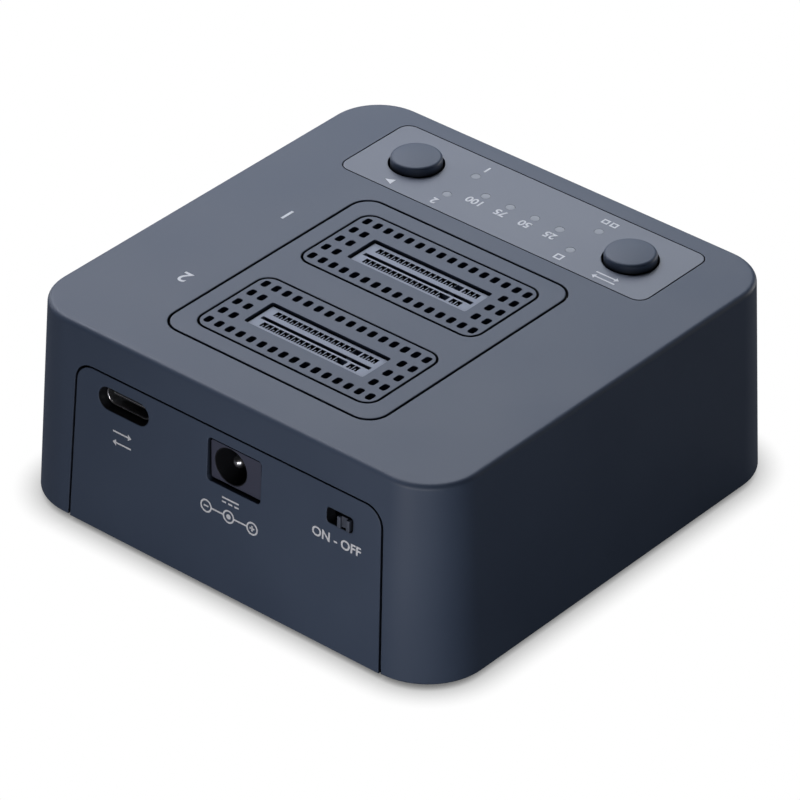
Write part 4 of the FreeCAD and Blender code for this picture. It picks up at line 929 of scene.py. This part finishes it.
def makeContactTree():
    # bent spring blades in rows: a swept strip on each point of a line
    tree, given = startShape("contactRows", (
        "pitch", "first", "row", "reach", "height", "width", "thickness",
    ), ("longCount", "shortCount", "gapCount"))
    outline = addNode(tree, "GeometryNodeCurvePrimitiveQuadrilateral", {
        "Width": given["width"], "Height": given["thickness"],
    })[0]
    rows = []
    for side, shift, fewer in ((-1.0, 0.0, 0.0), (1.0, -0.5, 1.0)):
        outer, inner = times(tree, given["reach"], side), times(tree, given["reach"], -side)
        line = addNode(tree, "GeometryNodeCurvePrimitiveBezierSegment", {
            "Resolution": 8, "Start": vector(tree, 0.0, outer),
            "Start Handle": vector(tree, 0.0, outer, times(tree, given["height"], 1.25)),
            "End Handle": vector(tree, 0.0, inner, times(tree, given["height"], 1.2)),
            "End": vector(tree, 0.0, inner, times(tree, given["height"], 0.66)),
        }, mode="POSITION")[0]
        spring = addNode(tree, "GeometryNodeCurveToMesh", {
            "Curve": line, "Profile Curve": outline, "Fill Caps": True,
        })[0]
        shortCount = calc(tree, "SUBTRACT", given["shortCount"], fewer)
        rows += addRows(tree, given, spring, times(tree, given["row"], side), shift,
                        given["gapCount"], given["longCount"], shortCount)
    return endShape(tree, given, join(tree, *rows))


def makeSockets():
    cutter = makeCellCutter()
    socketTree, contactTree = makeSocketTree(), makeContactTree()
    for name in ("source", "target"):
        low, high, middle = place(name + "_socket")
        sizes = {
            **socket, "cell": cutter,
            "width": high.x - low.x, "length": high.y - low.y, "height": high.z - low.z,
        }
        buildPiece(name + "_card_socket", socketTree, sizes, (middle.x, middle.y, high.z),
                   "socket_plastic", name + "_socket", bevel=0.04 * mm, segments=1)
        low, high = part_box(name + "_contacts")
        buildPiece(name + "_spring_contacts", contactTree, {**blade, "height": high.z - low.z},
                   (middle.x, middle.y, low.z), "contact_metal", name + "_contacts")
    bpy.data.objects.remove(cutter)


makeSockets()
print("sockets made")


# Buttons, lamps, screws and feet

button = metres(
    radius=4.0, collar=4.85, collarThickness=0.8, clearance=0.35, stemBore=2.05, rimRadius=0.55, crown=0.25,
    crownSteps=5, crownTip=0.02, collarEdge=0.08, stemEdge=0.05,
)
crownShare = 0.86  # how far out the crown reaches, as a share of the button's radius
lamp = metres(radius=0.72, dome=0.02, barThickness=1.1, barDepth=2.5)
boardScrew = metres(radius=1.0, head=1.9, headHeight=1.3)
recess = {"arm": 0.62, "width": 0.2, "taper": -0.25, "depth": 0.55}  # shares of the head's size
screws = {
    "base_screws": metres(radius=1.25, head=2.3, headHeight=1.4, spacingX=66.0, spacingY=66.0),
    "main_board_screws": {**boardScrew, **metres(spacingX=56.0, spacingY=34.0)},
    "control_board_screws": {**boardScrew, **metres(spacingX=28.0, spacingY=13.6)},
}
foot = metres(radius=5.0, edge=0.33, dish=0.12, spacingX=58.0, spacingY=44.0)


def makeButtons():
    for name in ("start", "mode"):
        low, high, middle = place(name + "_button_cap")
        shoulder = place("top_shell")[1].z - shell["topThickness"] - button["clearance"]
        under = shoulder - button["collarThickness"]
        rim = high.z - button["crown"]
        crown = []
        for step in range(button["crownSteps"] + 1):
            inward = step / button["crownSteps"]
            share = crownShare * (1 - inward)
            crown.append((
                button["radius"] * share + button["crownTip"] * inward, rim + button["crown"] * (1 - share ** 2),
            ))
        mesh = bmesh.new()
        addTurned(mesh, softProfile(
            (0.3 * button["stemBore"], low.z), (button["stemBore"], low.z, button["stemEdge"]),
            (button["stemBore"], under), (button["collar"], under, button["collarEdge"]),
            (button["collar"], shoulder, button["collarEdge"]), (button["radius"], shoulder),
            (button["radius"], rim + button["crownTip"], button["rimRadius"]), *crown, steps=5,
        ), middle.x, middle.y, steps=72)
        finishPiece(name + "_button", mesh, "housing_plastic", name + "_button_cap",
                    body=name + "_button", angle=50)


def makeCornerTree():
    # one copy of a small part at each corner of a rectangle
    tree, given = startShape("cornerCopies", ("spacingX", "spacingY"), parts=["part"])
    corners = grid(tree, given["spacingX"], given["spacingY"])
    return endShape(tree, given, copies(tree, corners, givenPart(tree, given["part"])))


def makeScrewPart(sizes, length):
    # pan head below with a cross recess, shank above
    mesh = bmesh.new()
    radius, head, height = sizes["radius"], sizes["head"], sizes["headHeight"]
    arm, width = recess["arm"] * head, recess["width"] * head
    cross = []
    for turn in range(4):
        for x, y in ((arm, -width), (arm, width), (width, width)):
            cross.append(Matrix.Rotation(math.radians(90 * turn), 2) @ Vector((x, y)))
    rim, floor = addStack(mesh, lambda grow: [spot * (1 + grow) for spot in cross], [
        (0.0, 0.0), (recess["taper"], recess["depth"] * height),
    ])
    mesh.faces.new(floor)
    outer, top = addStack(mesh, circleAt(0.0, steps=32), softProfile(
        (head * 0.72, 0.0), (head, 0.0, 0.3 * height), (head, height, 0.05 * mm), (radius, height),
        (radius, height + length - 0.4 * mm), (0.45 * radius, height + length),
    ))
    fillFlat(mesh, outer, rim)
    mesh.faces.new(top)
    return newPiece("screw_part", mesh)


def makeFasteners():
    tree = makeCornerTree()

    def setCorners(name, node, part, sizes, finish):
        low, _, middle = place(node)
        buildPiece(name, tree, {**sizes, "part": part}, (middle.x, middle.y, low.z), finish, node)
        bpy.data.objects.remove(part)

    for name, sizes in screws.items():
        low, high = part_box(name)
        part = makeScrewPart(sizes, high.z - low.z - sizes["headHeight"])
        setCorners(name.replace("screws", "fasteners"), name, part, sizes, "steel")
    low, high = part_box("rubber_feet")
    radius, height = foot["radius"], high.z - low.z
    mesh = bmesh.new()
    addTurned(mesh, softProfile(
        (0.05 * radius, foot["dish"]), (0.6 * radius, foot["dish"]), (0.68 * radius, 0.0),
        (radius, 0.0, foot["edge"]), (radius, height), (0.05 * radius, height),
    ), steps=48)
    setCorners("soft_feet", "rubber_feet", newPiece("foot_part", mesh), foot, "soft_rubber")


def makeLampTree():
    # a pipe at each lamp: the middle row between the end columns, and pairs at the ends
    tree, given = startShape("lampPipes", ("lampPitch", "lampStep"), parts=["part"])
    pitch, step = given["lampPitch"], given["lampStep"]
    lattice = grid(tree, times(tree, pitch, 5.0), times(tree, step, 2.0), 6, 3)
    outer, side = beyond(tree, 0, times(tree, pitch, 2.0)), beyond(tree, 1, times(tree, step, 0.5))
    part = givenPart(tree, given["part"])
    return endShape(tree, given, copies(tree, lattice, part, calc(tree, "COMPARE", outer, side)))


def makeLamps():
    low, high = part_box("light_pipes")
    radius, dome, barTop = lamp["radius"], lamp["dome"], high.z - lamp["barDepth"]
    mesh = bmesh.new()
    top = high.z - dome
    addTurned(mesh, [
        (radius, low.z), (radius, top), (0.8 * radius, top + 0.6 * dome), (0.45 * radius, top + 0.9 * dome),
        (0.05 * radius, high.z),
    ], steps=24)
    part = newPiece("pipe_part", mesh)
    piece = runTree("lamp_pipes", makeLampTree(), {**strip, "part": part}, (*strip["lampMiddle"], 0.0), "lamp_lens")
    bpy.data.objects.remove(part)
    mesh = reopened(piece)
    addPrism(mesh, boxAt("light_pipes", radius)(0.0), barTop - lamp["barThickness"], barTop)
    finishPiece("lamp_pipes", mesh, "lamp_lens", "light_pipes")


makeButtons()
makeFasteners()
makeLamps()
print("controls and fasteners made")


# Connectors

usb = metres(
    wall=0.3, edge=0.14, backEdge=0.2, backWidth=0.5, root=2.0, rootEdge=0.1,
    tongueWidth=6.7, tongueThickness=0.7, tongueCorner=0.2, tongueEdge=0.12,
    plateWidth=6.95, plateThickness=0.18, plateCorner=0.06, plateStart=-0.04,
)
inlet = metres(
    width=9.5, height=6.5, corner=0.35, edge=0.04, boreX=1.0, bore=3.1, boreDepth=9.5, mouth=0.03,
    earThickness=0.8, liner=0.12, linerGap=0.01, linerStart=0.06,
)
knobLook = metres(rib=0.6, groove=0.5, edge=0.1, stem=(1.4, 1.2), bodyGap=0.35, overlap=0.2)


def makeUsbPort():
    low, high, middle = place("usb_c_shell")
    width, height, length = high.x - low.x, high.z - low.z, high.y - low.y
    wall = usb["wall"]
    mesh = bmesh.new()
    addSolid(mesh, plateAt(width, height, height / 2, steps=10), softProfile(
        (-wall - 2 * usb["backEdge"], length - wall), (-wall, length - wall, usb["backEdge"]),
        (-wall, 0.0, usb["edge"]), (0.0, 0.0, usb["edge"]), (0.0, length, usb["backEdge"]),
        (-usb["backWidth"], length),
    ))
    finishPiece("usb_sleeve", mesh, "steel", "usb_c_shell", matrix=facing(middle.x, high.y, middle.z))

    low, high, middle = place("usb_c_tongue")
    width, height, depth = high.x - low.x, high.z - low.z, high.y - low.y
    front = facing(middle.x, high.y, middle.z)
    mesh = bmesh.new()
    addSolid(mesh, plateAt(width, height, height / 2), edged(usb["rootEdge"], depth - usb["root"], (0.0, depth)))
    addSolid(mesh, plateAt(usb["tongueWidth"], usb["tongueThickness"], usb["tongueCorner"], steps=4), edged(
        usb["tongueEdge"], 0.0, (0.0, depth - 0.5 * usb["root"]), lead=-1.5,
    ))
    finishPiece("usb_core", mesh, "black_plastic", "usb_c_tongue", matrix=front)
    mesh = bmesh.new()
    addPrism(mesh, roundedLoop(usb["plateWidth"], usb["plateThickness"], usb["plateCorner"], steps=2),
             usb["plateStart"], depth - 0.6 * usb["root"])
    finishPiece("usb_mid_plate", mesh, "polished_steel", matrix=front)


def makePowerInlet():
    low, high, middle = place("dc_inlet")
    length = high.y - low.y
    front = facing(middle.x, high.y, middle.z)
    mesh = bmesh.new()
    face, floor = addStack(
        mesh, plateAt(inlet["width"], inlet["height"], inlet["corner"], steps=4),
        edged(inlet["edge"], 0.0, (0.0, length), lead=-1.2),
    )
    mouth, bottom = addStack(
        mesh, circleAt(inlet["bore"], inlet["boreX"], steps=48),
        edged(inlet["mouth"], 0.0, (0.0, inlet["boreDepth"]), lead=1.2),
    )
    fillFlat(mesh, face, mouth)
    mesh.faces.new(bottom)
    mesh.faces.new(floor)
    mesh = reopened(newPiece("power_socket", mesh, front))
    boardTop = place("main_board")[1].z
    addBlock(mesh, high.x - low.x, length / 3, boardTop, boardTop + inlet["earThickness"],
             middle.x, high.y - 0.7 * length)
    finishPiece("power_socket", mesh, "inlet_plastic", "dc_inlet")

    # a black sheet lining the bore, darker than the jack's face: painted shade inside the jack
    mesh = bmesh.new()
    bore, back = inlet["bore"] - inlet["linerGap"], inlet["boreDepth"] - 2 * inlet["linerGap"]
    inner = bore - inlet["liner"]
    addSolid(mesh, circleAt(0.0, inlet["boreX"], steps=48), [
        (inner, back - inlet["liner"]), (inner, inlet["linerStart"]), (bore, inlet["linerStart"]), (bore, back),
    ])
    finishPiece("power_liner", mesh, "black_plastic", matrix=front)

    low, high, middle = place("dc_pin")
    radius = (high.x - low.x) / 2
    mesh = bmesh.new()
    turns = [math.radians(angle) for angle in (3, 15, 30, 45, 60, 75, 90)]
    tip = [(radius * math.sin(turn), radius * (1 - math.cos(turn))) for turn in turns]
    addTurned(mesh, [*tip, (radius, high.y - low.y)], steps=32)
    finishPiece("power_pin", mesh, "steel", "dc_pin", matrix=facing(middle.x, high.y, middle.z), angle=50)


def makeSlideKnob():
    low, high, middle = place("power_switch_knob")
    half = (high.x - low.x) / 2
    groove, floor = half - knobLook["rib"], high.y - knobLook["groove"]
    back, front = place("power_switch_body")[1].y + knobLook["bodyGap"], high.y
    mesh = bmesh.new()
    addPrism(mesh, [
        (middle.x + x, y) for x, y in (
            (-half, back), (half, back), (half, front), (groove, front), (groove, floor), (-groove, floor),
            (-groove, front), (-half, front),
        )
    ], low.z, high.z)
    width, tall = knobLook["stem"]
    end = back + knobLook["overlap"]
    addBlock(mesh, width, end - low.y, middle.z - tall / 2, middle.z + tall / 2, middle.x, (end + low.y) / 2)
    finishPiece("slide_knob", mesh, "knob_plastic", "power_switch_knob", body="power_knob",
                bevel=knobLook["edge"], segments=3)


makeUsbPort()
makePowerInlet()
makeSlideKnob()
print("connectors made")


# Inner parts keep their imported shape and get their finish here

innerFinishes = {
    "board_laminate": ("main_board", "control_board"),
    "black_plastic": ("duplicator_chip", "bridge_chips", "link_socket", "link_plug", "power_switch_body",
                      "start_switch_body", "mode_switch_body", "start_switch_plunger", "mode_switch_plunger"),
    "steel": ("start_switch_cover", "mode_switch_cover"),
    "soft_rubber": ("thermal_pad",),
    "sink_aluminium": ("heat_sink", "filter_capacitors"),
    "coil_ferrite": ("power_inductors",),
    "contact_metal": ("usb_c_contacts", "dc_spring"),
    "lamp_lens": ("status_leds",),
    "housing_plastic": ("base_plate",),
}
for slot, names in innerFinishes.items():
    for name in names:
        nodes[name].data.materials.clear()
        nodes[name].data.materials.append(materials[slot])
print("inner parts finished")


# Printed marks

mark = metres(thickness=0.016, line=0.28, arrowHead=0.55, bolder=0.05)
numbers = {
    # name: text, then x, y and height in mm
    "bay_1": ("1", 25.5, -3.5, 3.6), "bay_2": ("2", 25.5, 19.4, 3.6),
    "lamp_1": ("1", 11.2, -33.0, 2.1), "lamp_2": ("2", 11.7, -21.0, 2.1),
    "step_100": ("100", 6.9, -24.8, 2.1), "step_75": ("75", 2.0, -24.8, 2.1),
    "step_50": ("50", -2.7, -24.8, 2.1), "step_25": ("25", -7.5, -24.8, 2.1),
}


def makeMark(name, text, height, matrix):
    words = bpy.data.curves.new(name, "FONT")
    words.body = text
    words.size = height
    words.align_x = words.align_y = "CENTER"
    words.extrude = mark["thickness"] / 2
    words.offset = mark["bolder"]
    source = addObject(name + "_source", words)
    data = frozen(source)
    bpy.data.objects.remove(source)
    data.transform(matrix @ Matrix.Translation((0.0, 0.0, mark["thickness"] / 2)))
    dress(addObject(name, data), "housing", "mark_ink")


def dressSymbol(name, mesh, matrix):
    dress(newPiece(name, mesh, matrix), "housing", "mark_ink")


def addFlat(mesh, points):
    addPrism(mesh, points, 0.0, mark["thickness"])


def addFrame(mesh, outlineAt):
    # a closed line of the mark's width inside an outline
    addBand(mesh, outlineAt, -mark["line"], 0.0, 0.0, mark["thickness"])


def addArrow(mesh, x, y, length, side):
    # a flat arrow along x
    half, neck, head = length / 2, length / 2 - 1.2 * mark["arrowHead"], mark["arrowHead"]
    width = mark["line"] / 2
    addFlat(mesh, [(x + side * across, y + up) for across, up in (
        (-half, -width), (neck, -width), (neck, -head), (half, 0.0), (neck, head), (neck, width), (-half, width),
    )])


def addBar(mesh, x, y, width, height=mark["line"]):
    addFlat(mesh, roundedLoop(width, height, 0.0, x, y, steps=1))


def makeTopMarks():
    flat = Matrix.Translation((0.0, 0.0, place("top_shell")[1].z))
    for name, (text, *sizes) in numbers.items():
        x, y, height = scaled(tuple(sizes))
        makeMark("mark_" + name, text, height, flat @ Matrix.Translation((x, y, 0.0)))
    mesh = bmesh.new()
    addFlat(mesh, scaled(((19.7, -21.6), (21.2, -20.9), (19.7, -20.2))))
    dressSymbol("mark_start", mesh, flat)
    mesh = bmesh.new()
    for y, side in ((-20.4, 1), (-21.5, -1)):
        addArrow(mesh, -21.0 * mm, y * mm, 4.2 * mm, side)
    dressSymbol("mark_mode", mesh, flat)
    mesh = bmesh.new()
    for side, x, y in scaled(((1.4, -12.2, -21.0), (1.2, -13.0, -33.2), (1.2, -11.4, -33.2))):
        addFrame(mesh, lambda grow: roundedLoop(side + 2 * grow, side + 2 * grow, 0.0, x, y, steps=1))
    dressSymbol("mark_copies", mesh, flat)


def makeRearMarks():
    # seen from behind: local x runs towards -X, y up the face
    top = place("top_shell")[1].z
    rear = panelMatrix() @ Matrix.Rotation(math.radians(180), 4, "Y")
    makeMark("mark_on_off", "ON - OFF", 2.15 * mm, rear @ Matrix.Translation(
        (21.55 * mm, alongFace(top - 14.7 * mm), 0.0)))
    mesh = bmesh.new()
    for side, drop in ((1, 14.8), (-1, 16.6)):
        addArrow(mesh, -19.4 * mm, alongFace(top - drop * mm), 3.6 * mm, side)
    level = alongFace(top - 17.1 * mm)
    for x, up, width in scaled(((1.65, 0.35, 3.2), (0.45, -0.35, 0.8), (1.65, -0.35, 0.8), (2.85, -0.35, 0.8))):
        addBar(mesh, x, level + up, width)
    level = alongFace(top - 19.6 * mm)
    left, centre, right = scaled((-2.9, 1.4, 5.9))
    for x in (left, centre, right):
        addFrame(mesh, circleAt(1.1 * mm, x, level, 32))
    for x, width in scaled(((-0.75, 2.1), (3.65, 2.3), (-2.9, 0.9), (5.9, 0.9))):
        addBar(mesh, x, level, width)
    addBar(mesh, right, level, mark["line"], 0.9 * mm)
    addFlat(mesh, circleLoop(0.42 * mm, centre, level, 20))
    dressSymbol("mark_rear", mesh, rear)


makeTopMarks()
makeRearMarks()
print("marks made")


# Stage, light and camera

white = (1.0, 1.0, 1.0, 1.0)
stage = {"size": 6.0, "shadowReach": 4.6 * mm, "shadowDepth": 0.92, "floorTone": (0.16, 0.16, 0.165, 1.0)}
view = {
    "location": (-0.44855, 0.54187, 0.48424),
    "azimuth": 219.64,
    "elevation": 33.777,
    "roll": 0.90,
    "lens": 256.9,
}
lights = {
    # name: location, aim, size, watts, colour
    "key": ((0.44, -0.16, 0.50), (0.0, 0.0, 0.03), 0.34, 2.6, (0.98, 1.0, 1.10)),
    "near_key": ((0.16, -0.26, 0.24), (0.0, 0.0, 0.03), 0.20, 0.36, (0.86, 0.92, 1.0)),
    "sheen": ((0.64, -0.77, 0.67), (0.0, 0.0, 0.03), 0.80, 0.5, (1.0, 1.0, 1.0)),
    "rear_fill": ((-0.035, 0.20, 0.018), (-0.015, 0.04, 0.014), 0.028, 0.076, (1.0, 0.97, 0.97)),
    "corner_fill": ((-0.16, 0.20, 0.04), (-0.03, 0.03, 0.016), 0.05, 0.098, (0.95, 0.95, 1.0)),
    "side_fill": ((-0.40, -0.06, 0.12), (-0.03, 0.0, 0.016), 0.20, 0.004, (0.4, 0.9, 1.0)),
    "rim": ((-0.12, -0.38, 0.05), (-0.03, -0.03, 0.02), 0.10, 0.30, (1.0, 1.0, 1.0)),
    "left_glint": ((0.46, -0.06, 0.11), (0.03, 0.02, 0.03), 0.20, 0.30, (1.0, 1.0, 1.0)),
}


def emptyTree(holder):
    holder.use_nodes = True
    holder.node_tree.nodes.clear()
    return holder.node_tree


def makeStage():
    # the camera sees white paper with a soft contact shadow, and other rays a grey table
    mesh = bmesh.new()
    addPrism(mesh, roundedLoop(stage["size"], stage["size"], 0.5), -0.01, 0.0)
    floor = newPiece("floor", mesh)
    material = bpy.data.materials.new("floor_paper")
    tree = emptyTree(material)
    nearness = addNode(tree, "ShaderNodeAmbientOcclusion", {"Distance": stage["shadowReach"]}, samples=16)["AO"]
    shaded = calc(tree, "POWER", nearness, stage["shadowDepth"])
    paper = addNode(tree, "ShaderNodeEmission", {"Color": white, "Strength": shaded})[0]
    table = addNode(tree, "ShaderNodeBsdfDiffuse", {"Color": stage["floorTone"]})[0]
    seen = addNode(tree, "ShaderNodeLightPath")["Is Camera Ray"]
    both = addNode(tree, "ShaderNodeMixShader", {0: seen, 1: table, 2: paper})[0]
    addNode(tree, "ShaderNodeOutputMaterial", {0: both})
    floor.data.materials.append(material)


def makeWorld():
    # white to the camera, and dark to every other ray
    bpy.context.scene.world = world = bpy.data.worlds.new("studio")
    tree = emptyTree(world)
    seen = addNode(tree, "ShaderNodeLightPath")["Is Camera Ray"]
    sky = addNode(tree, "ShaderNodeBackground", {"Color": white, "Strength": seen})[0]
    addNode(tree, "ShaderNodeOutputWorld", {0: sky})


def makeLights():
    for name, (location, aim, size, watts, colour) in lights.items():
        data = bpy.data.lights.new(name, "AREA")
        data.shape = "SQUARE"
        data.size = size
        data.energy = watts
        data.color = colour
        light = addObject(name, data)
        light.location = location
        light.rotation_euler = (Vector(aim) - Vector(location)).to_track_quat("-Z", "Y").to_euler()
        light.visible_camera = False


def makeCamera():
    data = bpy.data.cameras.new("camera")
    data.lens = view["lens"]
    data.sensor_width = 36.0
    azimuth, elevation = math.radians(view["azimuth"]), math.radians(view["elevation"])
    forward = Vector((
        -math.sin(azimuth) * math.cos(elevation), math.cos(azimuth) * math.cos(elevation), -math.sin(elevation)
    ))
    right = forward.cross(Vector((0, 0, 1))).normalized()
    up = right.cross(forward)
    turned = Matrix((right, up, -forward)).transposed() @ Matrix.Rotation(math.radians(view["roll"]), 3, "Z")
    bpy.context.scene.camera = camera = addObject("camera", data)
    camera.matrix_world = Matrix.Translation(view["location"]) @ turned.to_4x4()


makeStage()
makeWorld()
makeLights()
makeCamera()
bpy.context.scene.view_settings.view_transform = "Standard"
print("stage, light and camera made")
